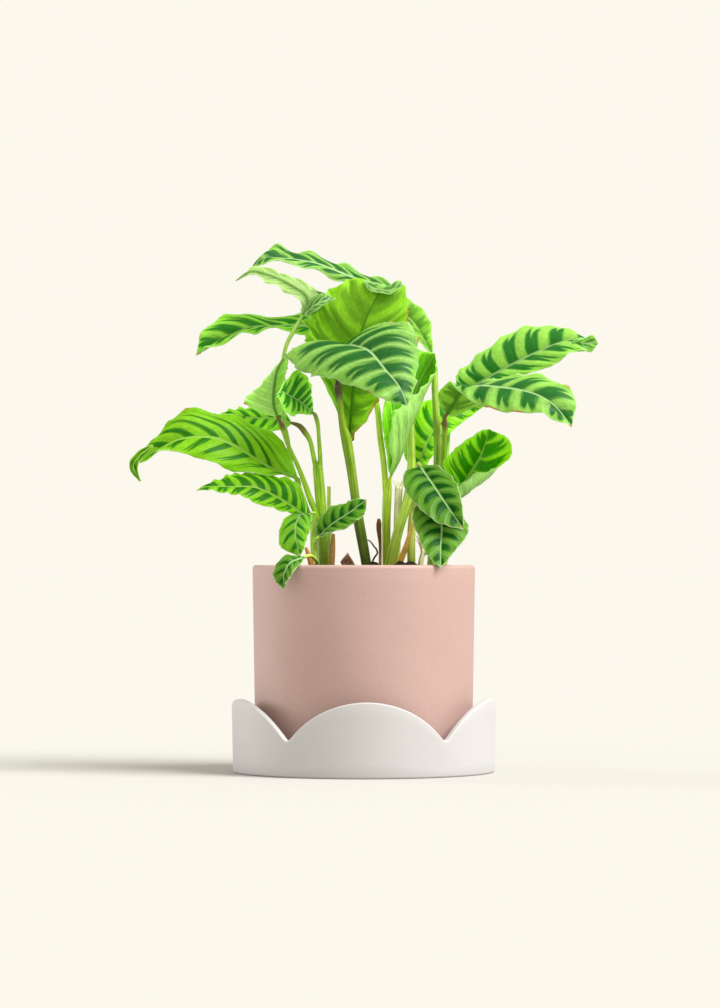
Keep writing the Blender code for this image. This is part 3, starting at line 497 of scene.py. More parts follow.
# %% Readings in between
def reading(stations, t):
    """A smooth reading at t between stations (t, vector), level beyond the first and the last."""
    if t <= stations[0][0]:
        return stations[0][1].copy()
    if t >= stations[-1][0]:
        return stations[-1][1].copy()
    k = max(i for i, station in enumerate(stations) if station[0] <= t)
    low, high = max(k - 1, 0), min(k + 2, len(stations) - 1)
    (t0, a), (t1, b) = stations[k], stations[k + 1]
    slope_a = (b - stations[low][1]) / (t1 - stations[low][0])
    slope_b = (stations[high][1] - a) / (stations[high][0] - t0)
    span = t1 - t0
    u = (t - t0) / span
    return (a * (2 * u ** 3 - 3 * u ** 2 + 1) + slope_a * span * (u ** 3 - 2 * u ** 2 + u)
            + b * (3 * u ** 2 - 2 * u ** 3) + slope_b * span * (u ** 3 - u ** 2))


def ease(low, high, value):
    """0 below low, 1 above high, and a smooth step between."""
    share = min(max((value - low) / (high - low), 0.0), 1.0)
    return share * share * (3 - 2 * share)


def hand(side):
    """Which of a pair of values is meant: the first for the left side, -1, the second for the right, 1."""
    return 0 if side < 0 else 1


# %% [markdown]
# A point of a blade is named by two numbers: t runs from the root to the tip, and s from the left edge, at
# -1, to the right edge, at 1. An outline formula narrows the blade towards both ends, the halves dome
# upwards, and the rim waves. Near the root nothing may reach back behind the stalk's end, so points there are
# held back.

# %% The blade's surface
OUTLINE_SCALE = 3.3
ROOT_ROUNDNESS = 0.75
ROOT_HALF_WIDTH = 1.0
TIP_HALF_WIDTH = 0.4
MIDRIB_STEPS = 96
LOOK_AHEAD = 0.02
WAVE_OFFSET = 1.3
HELD_UP_TO = 0.24
HOLD_FADE = 0.1


def leaf_outline(t):
    """Share of the full half width at t: round at the root, drawn out to a point at the tip."""
    return OUTLINE_SCALE * max(t, 0.0) ** ROOT_ROUNDNESS * max(1.0 - t, 0.0)


class Blade:
    """A blade's surface: place(t, s) with t from root to tip and s from -1, left edge, to 1, right edge."""

    def __init__(self, spec):
        self.midrib = smooth_path(spec["midrib"], MIDRIB_STEPS + 1)
        self.length = sum((b - a).length for a, b in zip(self.midrib, self.midrib[1:]))
        self.root = self.midrib[0]
        self.root_ahead = (self.midrib[2] - self.root).normalized()
        self.wave = spec["wave"]
        self.sides = {-1: [], 1: []}
        self.domes = []
        for t, left, right, *dome in spec["ribs"]:
            for side, edge in ((-1, left), (1, right)):
                self.sides[side].append((t, (Vector(edge) - self.along(t)) / leaf_outline(t)))
            self.domes.append((t, Vector(dome[0] if dome else spec["arch"])))

    def along(self, t):
        """The midrib's point at t."""
        place = min(max(t, 0.0), 1.0) * MIDRIB_STEPS
        k = min(int(place), MIDRIB_STEPS - 1)
        return self.midrib[k].lerp(self.midrib[k + 1], place - k)

    def half(self, t, side):
        """The way from the midrib to one edge at t."""
        reach = reading(self.sides[side], t)
        floor = ROOT_HALF_WIDTH + (TIP_HALF_WIDTH - ROOT_HALF_WIDTH) * t
        return reach * max(leaf_outline(t), floor / reach.length)

    def up(self, t, half, side):
        """Square to the half and to the midrib at t, on the upper side."""
        ahead = self.along(t + LOOK_AHEAD) - self.along(t - LOOK_AHEAD)
        return (half.cross(ahead) * side).normalized()

    def place(self, t, s):
        """The surface's point at t and s."""
        side = -1 if s < 0 else 1
        half = self.half(t, side)
        share = abs(s)
        dome = reading(self.domes, t)[hand(side)] * 4 * share * (1 - share) * half.length
        rise, waves = self.wave
        ripple = (rise * share ** 2 * math.sin(math.tau * waves * t + WAVE_OFFSET * side)
                  * math.sin(math.pi * t))
        spot = self.along(t) + half * share + self.up(t, half, side) * (dome + ripple)
        behind = min((spot - self.root).dot(self.root_ahead), 0.0)
        hold = min(max((HELD_UP_TO - t) / HOLD_FADE, 0.0), 1.0)
        return spot - self.root_ahead * behind * hold


blades = {name: Blade(spec) for name, spec in LEAVES.items()}
for name, blade in blades.items():
    print(f"{name}: {blade.length:.0f} mm long")

# %% [markdown]
# ## The leaves' pattern
#
# The dark bars follow the side veins. A side vein leaves the midrib at about sixty degrees and bends towards
# the tip, so the pattern can't be read off a flat map: each point of the mesh carries a number, phase, that
# counts bars along the midrib to where the vein through that point starts. The shader draws bars from that
# number, and stays sharp however coarse the mesh is. Other numbers say how far the point lies from the
# midrib and from the rim, in millimetres.

# %% Which leaf looks how
# bars counts the dark bars along each half. young is how far the leaf keeps its juvenile look, deep green
# with thin bars. sheen_to_backlight mixes the leaf's greens, partly their own tone and partly painted light,
# from a cool pale set with a painted sheen, for a leaf that faces the lamp, to a yellower set with a painted
# glow, for a leaf lit from behind. broad widens the bars at the midrib, slim narrows them everywhere, faint
# weakens them, and lift makes the whole leaf lighter, partly as its own tone and partly as painted light on
# leaves that lie in shade. under does for the lower side what sheen_to_backlight does for the upper. lean
# says how far the side veins sweep towards the tip, left and right. ruffle is the height of the crests along
# its rim, in mm, crests how many there are for each bar, and notch how deep the rim is cut in between them,
# left and right, as a share of the half width. burnt lists brown scorched stretches of the rim and pale lists
# painted patches of light on it, where the bars fade, both as (share of length, side, reach in mm).
PLAIN_LOOK = dict(bars=7, young=0.0, sheen_to_backlight=0.5, under=0.6, broad=0.0, slim=0.2, faint=0.0, lift=1.0,
                  lean=(1.0, 1.0), ruffle=2.0, crests=1.0, notch=(0.035, 0.035), burnt=(), pale=())
LOOKS = {
    "leaf_top_sweep": dict(bars=7.5, sheen_to_backlight=0.0, broad=0.7, slim=0.2, lean=(2.2, 2.6), ruffle=4.4, crests=0.55),
    "leaf_top_left": dict(bars=8, sheen_to_backlight=0.0, under=0.0, faint=0.5, lift=1.05, lean=(3.2, 3.2), ruffle=2.2,
                          crests=0.45),
    "leaf_mid_left": dict(sheen_to_backlight=0.5, under=0.5, broad=0.5, lift=1.18, lean=(1.8, 2.2), ruffle=4.2, crests=0.5,
                          burnt=[(0.97, -1, 3.0), (0.93, 1, 2.0)]),
    "leaf_tall_centre": dict(bars=6.5, sheen_to_backlight=1.0, under=1.0, slim=0.0, faint=0.2, lift=1.04, ruffle=3.2,
                             crests=1.25, notch=(0.045, 0.1),
                             burnt=[(0.3, -1, 14.0), (0.12, -1, 12.0), (0.75, -1, 9.0)]),
    "leaf_front": dict(bars=8.6, sheen_to_backlight=0.0, broad=0.9, slim=0.3, lean=(0.7, 0.25), ruffle=3.6,
                       notch=(0.055, 0.055),
                       burnt=[(0.38, -1, 4.0), (0.56, -1, 3.0), (0.82, 1, 2.0)]),
    "leaf_behind_right": dict(bars=6, sheen_to_backlight=0.6, faint=0.5, lift=0.95),
    "leaf_furled": dict(bars=6, sheen_to_backlight=0.8, under=0.25, faint=0.35, slim=-1.3, lift=1.32,
                        lean=(2.6, 2.6)),
    "leaf_behind_stems": dict(sheen_to_backlight=1.0, slim=0.9, lift=1.14),
    "leaf_upper_right": dict(sheen_to_backlight=0.05, slim=0.35, lift=1.24, lean=(0.6, 1.0), burnt=[(0.99, -1, 2.0)]),
    "leaf_lower_right": dict(sheen_to_backlight=0.0, under=0.8, broad=0.3, slim=0.3, lift=1.1, lean=(1.4, 0.35),
                             ruffle=3.6,
                             burnt=[(0.5, 1, 9.0), (0.66, 1, 7.0), (0.8, -1, 6.0), (0.99, 1, 2.5)]),
    "leaf_left_small_up": dict(sheen_to_backlight=0.25, broad=0.8, slim=0.3, lift=1.37, lean=(0.2, -0.5), ruffle=1.0),
    "leaf_left_back_face": dict(bars=6, sheen_to_backlight=0.6, under=0.0, faint=0.6, slim=-0.4, lift=1.33,
                                ruffle=2.2, crests=0.9, notch=(0.08, 0.08), burnt=[(0.3, 1, 2.0)]),
    "leaf_left_hidden": dict(bars=6, sheen_to_backlight=0.8, slim=0.8, lift=1.32),
    "leaf_left_large": dict(bars=8, sheen_to_backlight=1.0, slim=1.0, faint=-0.2, lift=0.93, lean=(2.0, 3.2),
                            ruffle=3.6, crests=0.5, burnt=[(0.66, 1, 3.0)],
                            # a painted patch of light near the root, on the right half
                            pale=[(0.12, 1, 26.0)]),
    "leaf_left_low": dict(bars=8, sheen_to_backlight=1.0, lean=(1.3, 1.4), ruffle=2.4),
    "leaf_small_hanging": dict(bars=5, young=0.3, sheen_to_backlight=0.35, slim=0.95, lift=1.08, ruffle=1.3),
    "leaf_over_rim": dict(bars=5, young=0.45, sheen_to_backlight=0.15, slim=0.95, broad=0.3, lift=0.66, ruffle=1.2),
    "leaf_small_centre": dict(bars=6, young=0.5, sheen_to_backlight=0.05, slim=0.5, broad=0.3, lift=0.8, ruffle=1.2,
                              burnt=[(0.97, 1, 2.0)]),
    "leaf_right_small_up": dict(bars=6, young=0.45, sheen_to_backlight=0.05, slim=0.4, broad=0.4, lift=0.66, ruffle=1.6,
                                burnt=[(0.97, -1, 2.5)]),
    "leaf_right_small_low": dict(bars=6, young=0.4, sheen_to_backlight=0.0, slim=0.55, broad=0.4, lift=0.76, ruffle=2.2),
    "leaf_right_spoon": dict(bars=5.5, sheen_to_backlight=1.0, under=0.0, broad=1.0, slim=0.1, lift=1.28),
}
LOOKS = {name: PLAIN_LOOK | look for name, look in LOOKS.items()}

# Parts of a blade that fold over and show the other face, as small blades of their own
FOLDS = {
    "leaf_tall_centre": [dict(  # the lip that turns over at the top
        midrib=[(0.2, 2.0, 393.2), (5.8, -1.0, 388.1), (12.9, -3.0, 385.6),
                (20.9, -3.5, 385.1), (26.5, -2.0, 388.8), (31.0, 1.0, 392.3)],
        ribs=[(0.2, (4.2, 2.5, 392.0), (3.4, -4.0, 385.5)),
              (0.5, (16.2, 1.5, 389.8), (13.7, -6.0, 382.3)),
              (0.75, (23.4, 1.0, 390.7), (24.1, -6.0, 382.9)),
              (0.9, (27.4, 1.0, 393.5), (29.7, -4.0, 387.5))],
        arch=(0.1, 0.14), wave=(0.4, 2),
        look=dict(bars=2.4, sheen_to_backlight=0.0, faint=0.35, lift=1.05, ruffle=0.3, notch=(0.035, 0.035), burnt=()))],
    "leaf_top_left": [dict(  # the base turns its upper side to the front
        midrib=[(-46.8, -17.0, 364.6), (-40.4, -19.0, 370.8), (-32.4, -17.0, 374.9),
                (-22.2, -9.0, 377.9)],
        ribs=[(0.2, (-44.4, -14.0, 372.4), (-43.5, -19.0, 363.7)),
              (0.5, (-38.9, -11.0, 380.6), (-34.8, -20.0, 369.5)),
              (0.8, (-29.3, -10.0, 380.6), (-27.7, -14.0, 374.8))],
        arch=(0.1, 0.1), wave=(0.4, 2),
        look=dict(bars=4, faint=0.2, broad=0.6, lift=0.95, ruffle=0.8))],
    "leaf_upper_right": [dict(  # the blunt torn tip
        midrib=[(165.1, 17.0, 341.3), (174.0, 17.0, 343.3), (182.0, 16.5, 344.0),
                (188.8, 16.0, 343.6)],
        ribs=[(0.25, (171.6, 18.0, 347.4), (171.5, 15.0, 337.1)),
              (0.6, (179.7, 18.0, 349.0), (179.5, 15.0, 336.7)),
              (0.86, (185.7, 17.0, 349.7), (184.7, 15.0, 337.5))],
        arch=(0.05, 0.1), wave=(1.0, 2),
        look=dict(bars=2.5, lean=(4.0, 4.0), faint=0.2, ruffle=0.6, burnt=()))],
    "leaf_left_large": [dict(  # the curled tail
        midrib=[(-167.5, -19.0, 260.4), (-176.1, -21.0, 253.9), (-181.5, -23.5, 248.3),
                (-183.1, -24.0, 242.7), (-181.0, -26.0, 237.1), (-177.0, -25.5, 231.2)],
        ribs=[(0.2, (-174.5, -22.0, 250.7), (-177.0, -20.0, 257.1)),
              (0.45, (-177.9, -24.0, 247.1), (-185.2, -22.0, 249.1)),
              (0.65, (-179.0, -25.0, 243.5), (-186.3, -23.0, 243.2)),
              (0.85, (-178.9, -27.0, 237.9), (-183.8, -25.0, 237.2))],
        arch=(-0.1, -0.1), wave=(0.4, 2),
        look=dict(bars=2.5, lean=(4.0, 4.0), young=0.5, lift=0.7, ruffle=0.6, burnt=(), pale=()))],
}
print(len(LOOKS), "looks,", len(FOLDS), "blades with a folded part")

# %% [markdown]
# A vein starts further back on the midrib than the point it passes through, and the further the point lies
# from the midrib the more the vein has bent. Burnt stretches are brown scorched spots on the rim, and pale
# ones are painted patches of light where the bars fade; both fade out at their edges.

# %% Veins and marks
VEIN_LEAN = 0.42
VEIN_BEND = 0.34
VEIN_BEND_POWER = 2.2
# How much closer together the bars stand at the root than if they were evenly spaced, how far ahead one
# half's bars are, and a count that keeps all bars' numbers above zero
ROOT_CROWDING = 0.4
HALF_OFFSET = 0.18
FIRST_BAR = 40


def vein_start(blade, look, t, s):
    """Share of the midrib's length where the side vein through (t, s) starts."""
    side = -1 if s < 0 else 1
    reach = blade.half(t, side).length
    share = abs(s)
    bent = VEIN_LEAN * share + VEIN_BEND * share ** VEIN_BEND_POWER
    return t - look["lean"][hand(side)] * bent * reach / blade.length


def bar_phase(look, start, side):
    """Bars counted along the midrib."""
    along = (1 + ROOT_CROWDING) * start - ROOT_CROWDING * start * abs(start)
    return look["bars"] * along + HALF_OFFSET * side + FIRST_BAR


def marked(marks, blade, t, side, inset, depth=None):
    """How strongly a point lies in a marked stretch, which is as deep as it is long if no depth is given."""
    share = 0.0
    for at, marked_side, size in marks:
        if marked_side == side:
            away = math.hypot((t - at) * blade.length / size, inset / (depth or size))
            share = max(share, 1 - ease(0.5, 1.0, away))
    return share


# %% [markdown]
# A blade starts as a flat grid, with its columns crowded at the midrib, where the groove is. Each point
# moves to its place on the surface. Relief then lifts or lowers it: shallow pleats along the veins, a groove
# over the midrib, and crests where the rim has grown longer than the leaf. Between the crests the rim is cut
# in a little.

# %% Lay a blade
POINT_LAYERS = ("phase", "reach", "inset", "burnt", "pale", "rib")
CONSTANT_LAYERS = ("young", "sheen_to_backlight", "under", "broad", "slim", "faint", "lift")
COLUMN_CROWDING = 1.25
# Between these shares of the length the relief grows in at the root and dies out at the tip
RELIEF_START = (0.03, 0.14)
RELIEF_END = (1.0, 0.9)
PLEAT_DEPTH = 0.28
PLEAT_START = (0.02, 0.25)
GROOVE_DEPTH = 0.35
GROOVE_REACH = 1.8
# Crests: their mean height before scaling, the share of the half width where they start, and how uneven
MEAN_CREST = 0.36
CREST_REACH = 0.5
CREST_SWING = 0.9
NICKS_A_BLADE = 31
NOTCH_GROWTH = 2.5
SCORCH_DEPTH = 1.6
# The midrib's half width in mm at the root: a least one, and a share of the blade's length on top
RIB_LEAST = 0.35
RIB_SHARE = 0.012
MIDRIB_THICKNESS = 0.75
RIM_THICKNESS = 0.4
THICK_ZONE = (0.2, 1.8)


def lay_blade(bm, blade, look, rows, columns):
    """Lays a grid on a blade's surface, pleats it along its veins, and writes what the shader reads."""
    layers = {key: bm.verts.layers.float[key] for key in POINT_LAYERS + CONSTANT_LAYERS}
    uv = bm.loops.layers.uv["blade"]
    weight = bm.verts.layers.deform.verify()
    verts = bmesh.ops.create_grid(bm, x_segments=columns, y_segments=rows, size=1.0)["verts"]
    flat = {}
    for vert in verts:
        flat[vert] = ((vert.co.y + 1) / 2, math.copysign(abs(vert.co.x) ** COLUMN_CROWDING, vert.co.x))
    for face in {face for vert in verts for face in vert.link_faces}:
        for loop in face.loops:
            t, s = flat[loop.vert]
            loop[uv].uv = (s * 0.5 + 0.5, t)
    for vert, (t, s) in flat.items():
        side = -1 if s < 0 else 1
        half = blade.half(t, side)
        reach = half.length * abs(s)
        inset = half.length - reach
        phase = bar_phase(look, vein_start(blade, look, t, s), side)
        turn = phase * look["crests"]
        swing = 1 + CREST_SWING * noise.noise(Vector((round(turn) * 1.7, side * 3.3, look["bars"])))
        crest = (1 - abs(math.sin(math.pi * turn)) - MEAN_CREST) * swing
        nick = noise.noise(Vector((t * NICKS_A_BLADE, side * 7.3, look["bars"] * 3.1)))
        edge = ease(CREST_REACH, 1.0, abs(s))
        cut = look["notch"][hand(side)] * min(NOTCH_GROWTH * math.sin(math.pi * t), 1.0)
        spot = blade.place(t, s * (1 - cut * (0.5 + nick - crest) * edge))
        pleat = PLEAT_DEPTH * math.cos(math.tau * 2 * phase) * ease(*PLEAT_START, abs(s)) * (1.1 - abs(s))
        groove = GROOVE_DEPTH * (1 - ease(0, GROOVE_REACH, reach)) * (1 - 0.5 * t)
        body = ease(*RELIEF_START, t) * ease(*RELIEF_END, t)
        rise = (pleat - groove - PLEAT_DEPTH * 0.5 + look["ruffle"] * crest * edge) * body
        vert.co = (spot + blade.up(t, half, side) * rise) * MM
        numbers = look | dict(phase=phase, reach=reach, inset=inset, rib=RIB_LEAST + RIB_SHARE * blade.length,
                              burnt=marked(look["burnt"], blade, t, side, inset, SCORCH_DEPTH),
                              pale=marked(look["pale"], blade, t, side, inset))
        for key, layer in layers.items():
            vert[layer] = numbers[key]
        thick = 1 - ease(*THICK_ZONE, reach)
        vert[weight][0] = RIM_THICKNESS + (MIDRIB_THICKNESS - RIM_THICKNESS) * thick


# %% [markdown]
# The sheet has no thickness yet. A Solidify modifier gives it one that follows the weights, and gives the
# lower side and the rim finishes of their own. A part that folds over is laid in the same mesh.

# %% A fine blade
BLADE_GRID = (112, 48)
FOLD_GRID = (32, 16)


def fine_blade(name, finishes):
    """One leaf: its blade and its folded parts as one mesh, with thickness and rim."""
    bm = bmesh.new()
    for key in POINT_LAYERS + CONSTANT_LAYERS:
        bm.verts.layers.float.new(key)
    bm.loops.layers.uv.new("blade")
    lay_blade(bm, blades[name], LOOKS[name], *BLADE_GRID)
    for fold in FOLDS.get(name, ()):
        lay_blade(bm, Blade(fold), LOOKS[name] | fold["look"], *FOLD_GRID)
    made = piece(name + "_blade", bm, finishes, "leaf", name)
    made.vertex_groups.new(name="thickness")
    solid = made.modifiers.new("thickness", "SOLIDIFY")
    solid.thickness = MM
    solid.offset = -1.0
    solid.vertex_group = "thickness"
    solid.material_offset = 1
    solid.material_offset_rim = 2


# %% [markdown]
# ## The leaf's finish
#
# The shader first finds where a point lies in its bar and on its vein: away is the distance from the bar's
# middle, in bars, and out runs from 0 at the midrib to 1 at the rim. Patterns drawn out along the veins are
# laid in the same coordinates, so every streak follows its vein.

# %% Where a point lies in the pattern
# A bar's length and the half width of a middling leaf, in mm, turn sizes into these coordinates
BAR_LENGTH = 16.5
HALF_WIDTH = 28.8
# Each pattern's size in mm across the veins and along them, and its detail. Real fibres are some 0.2 mm
# apart, which is too fine to show, so they are drawn 0.75 mm apart.
VEIN_PATTERNS = {"streak": (2.75, 24.0, 2.0), "fibre": (0.75, 18.0, 3.0), "weave": (3.3, 1.6, 2.0)}
# The bars' middles wander over this size
WANDER_SIZE = 14.3 * MM


def vein_coordinates(tree, sheen_backlight_layer):
    """Nodes that read the blade's numbers: returns their sockets, with the vein patterns, by name."""
    p = {}
    for key in (*POINT_LAYERS, "young", "broad", "slim", "faint", "lift", sheen_backlight_layer):
        p[key] = add(tree, "Attribute", attribute_name=key).outputs["Fac"]
    p["place"] = add(tree, "TexCoord").outputs["Object"]
    wander = add(tree, "TexNoise", {"Vector": p["place"], "Scale": 1 / WANDER_SIZE, "Detail": 3.0})
    shift = add(tree, "Math", {0: wander, 1: 0.16, 2: -0.08}, operation="MULTIPLY_ADD")
    phase = add(tree, "Math", {0: p["phase"], 1: shift}, operation="ADD")
    count = add(tree, "Math", {0: phase}, operation="FLOOR")
    p["chance"] = add(tree, "TexWhiteNoise", {"W": count}, noise_dimensions="1D")
    share = add(tree, "Math", {0: phase}, operation="FRACT")
    centred = add(tree, "Math", {0: share, 1: 0.5}, operation="SUBTRACT")
    p["away"] = add(tree, "Math", {0: centred}, operation="ABSOLUTE")
    whole = add(tree, "Math", {0: p["reach"], 1: p["inset"]}, operation="ADD")
    p["out"] = add(tree, "Math", {0: p["reach"], 1: whole}, operation="DIVIDE")
    along_vein = add(tree, "CombineXYZ", {0: phase, 1: p["out"]})
    for key, (across, along, detail) in VEIN_PATTERNS.items():
        scale = (BAR_LENGTH / across, HALF_WIDTH / along, 1.0)
        stretched = add(tree, "Mapping", {"Vector": along_vein, "Scale": scale})
        p[key] = add(tree, "TexNoise", {"Vector": stretched, "Scale": 1.0, "Detail": detail})
    return p


# %% [markdown]
# A bar is dark where a point is nearer to its middle than half the bar's width. It narrows towards the rim,
# with feathered edges, and stops short of it. A notch of the leaf's lighter green often splits its outer end.

# %% The bars as nodes
# Each trait is a reading or a pattern times a factor, plus an offset. Widths are half widths, in bars.
BAR_TRAITS = {
    "at_midrib": ("broad", 0.10, 0.31),
    "at_rim": ("broad", -0.06, 0.26),
    "slimness": ("slim", -0.5, 1.1),
    "uneven": ("streak", 0.14, -0.07),
    "feather": ("fibre", 0.3, -0.15),
    "notch_start": ("chance", 0.45, 0.2),
    "streaked": ("fibre", 1.1, -0.5),
    "strength": ("faint", -1.0, 1.0),
}
YOUNG_NARROWING = -0.4
EDGE_SOFTENING = 0.07
# Between these readings of out, once the patterns have made it ragged, a bar dies out
BAR_FADE = (1.08, 1.32)
NOTCH_END = 0.9
NOTCH_WIDTHS = (-0.04, 0.13)
NOTCH_EDGE = 0.05


def bar_pattern(tree, p, softness):
    """How dark the bars make each point, from 0 to 1."""
    trait = {}
    for key, (source, factor, offset) in BAR_TRAITS.items():
        trait[key] = add(tree, "Math", {0: p[source], 1: factor, 2: offset}, operation="MULTIPLY_ADD")
    at_rim = add(tree, "Math", {0: p["young"], 1: YOUNG_NARROWING, 2: trait["at_rim"]},
                 operation="MULTIPLY_ADD")
    wide = add(tree, "MapRange", {0: p["out"], 3: trait["at_midrib"], 4: at_rim})
    width = add(tree, "Math", {0: wide, 1: trait["slimness"], 2: trait["uneven"]}, operation="MULTIPLY_ADD")
    width = add(tree, "Math", {0: width, 1: trait["feather"]}, operation="ADD")
    past = add(tree, "Math", {0: p["away"], 1: width}, operation="SUBTRACT")
    veined = add(tree, "Math", {0: p["young"], 1: p["broad"]}, operation="MAXIMUM")
    soft = add(tree, "Math", {0: veined, 1: EDGE_SOFTENING, 2: softness}, operation="MULTIPLY_ADD")
    inner = add(tree, "Math", {0: soft, 1: -1.0}, operation="MULTIPLY")
    bar = add(tree, "MapRange", {0: past, 1: inner, 2: soft, 3: 1.0, 4: 0.0},
              interpolation_type="SMOOTHSTEP")

    ragged = p["out"]
    for pattern, factor in (("streak", 0.2), ("fibre", 0.5)):
        ragged = add(tree, "Math", {0: p[pattern], 1: factor, 2: ragged}, operation="MULTIPLY_ADD")
    stop = add(tree, "MapRange", {0: ragged, 1: BAR_FADE[0], 2: BAR_FADE[1], 3: 1.0, 4: 0.0},
               interpolation_type="SMOOTHSTEP")
    notch_width = add(tree, "MapRange", {0: p["out"], 1: trait["notch_start"], 2: NOTCH_END,
                                         3: NOTCH_WIDTHS[0], 4: NOTCH_WIDTHS[1]})
    in_notch = add(tree, "Math", {0: p["away"], 1: notch_width}, operation="SUBTRACT")
    notch = add(tree, "MapRange", {0: in_notch, 1: -NOTCH_EDGE, 2: NOTCH_EDGE, 3: 0.0, 4: 1.0},
                interpolation_type="SMOOTHSTEP")
    whole_bar = add(tree, "Math", {0: notch, 1: p["young"]}, operation="MAXIMUM")
    for share in (stop, whole_bar):
        bar = add(tree, "Math", {0: bar, 1: share}, operation="MULTIPLY")
    lined = add(tree, "Math", {0: bar, 1: trait["streaked"]}, operation="ADD", use_clamp=True)
    return add(tree, "Math", {0: lined, 1: trait["strength"]}, operation="MULTIPLY")


# %% [markdown]
# Over the bars lie the pale lines. The midrib is as wide as the mesh's number says at the root, and thins out
# to the tip. The side veins run where one bar meets the next, and the rim is a narrow pale seam.

# %% The veins as nodes
# Two bars meet 0.5 bars from their middles; the midrib's and the rim's edges are in mm
SIDE_VEIN_ZONE = (0.44, 0.5)
MIDRIB_AT_TIP = 0.4
MIDRIB_EDGE = (-0.6, 0.45)
RIM_EDGE = (0.15, 0.9)


def vein_pattern(tree, p):
    """How strongly each point belongs to a side vein, the midrib and the rim, from 0 to 1."""
    strength = add(tree, "Math", {0: p["broad"], 1: 0.45, 2: 0.15}, operation="MULTIPLY_ADD")
    between = add(tree, "MapRange", {0: p["away"], 1: SIDE_VEIN_ZONE[0], 2: SIDE_VEIN_ZONE[1]},
                  interpolation_type="SMOOTHSTEP")
    side_vein = add(tree, "Math", {0: between, 1: strength}, operation="MULTIPLY")
    length = add(tree, "SeparateXYZ", {0: add(tree, "UVMap", uv_map="blade")}).outputs[1]
    midrib_width = add(tree, "MapRange", {0: length, 3: p["rib"], 4: MIDRIB_AT_TIP})
    past_midrib = add(tree, "Math", {0: p["reach"], 1: midrib_width}, operation="SUBTRACT")
    midrib = add(tree, "MapRange", {0: past_midrib, 1: MIDRIB_EDGE[0], 2: MIDRIB_EDGE[1], 3: 1.0, 4: 0.0},
                 interpolation_type="SMOOTHSTEP")
    rim = add(tree, "MapRange", {0: p["inset"], 1: RIM_EDGE[0], 2: RIM_EDGE[1], 3: 1.0, 4: 0.0},
              interpolation_type="SMOOTHSTEP")
    return side_vein, midrib, rim


# %% [markdown]
# The upper side of a living leaf is a thin waxy skin over green tissue. It has a soft gloss, and light that
# comes from behind shines through it yellower than it is in front. So each side is a plain glossy shader
# mixed with a translucent one, and both are driven by the same bars. The lower side is paler, and the bars
# show through it only faintly.

# %% The leaf's finish
PATCH_SIZE = 22.2 * MM
# A leaf's cells are some 0.1 mm across, which is too fine to show, so the skin's grain is drawn coarser
GRAIN_SIZE = 0.714 * MM
SKIN_RELIEF = 0.2 * MM
# What lightens and darkens the tissue: each pattern times a factor, plus an offset
SHADES = (("fibre", 0.9, 0.55), ("weave", 0.5, 0.75), ("patches", 0.4, 0.8))


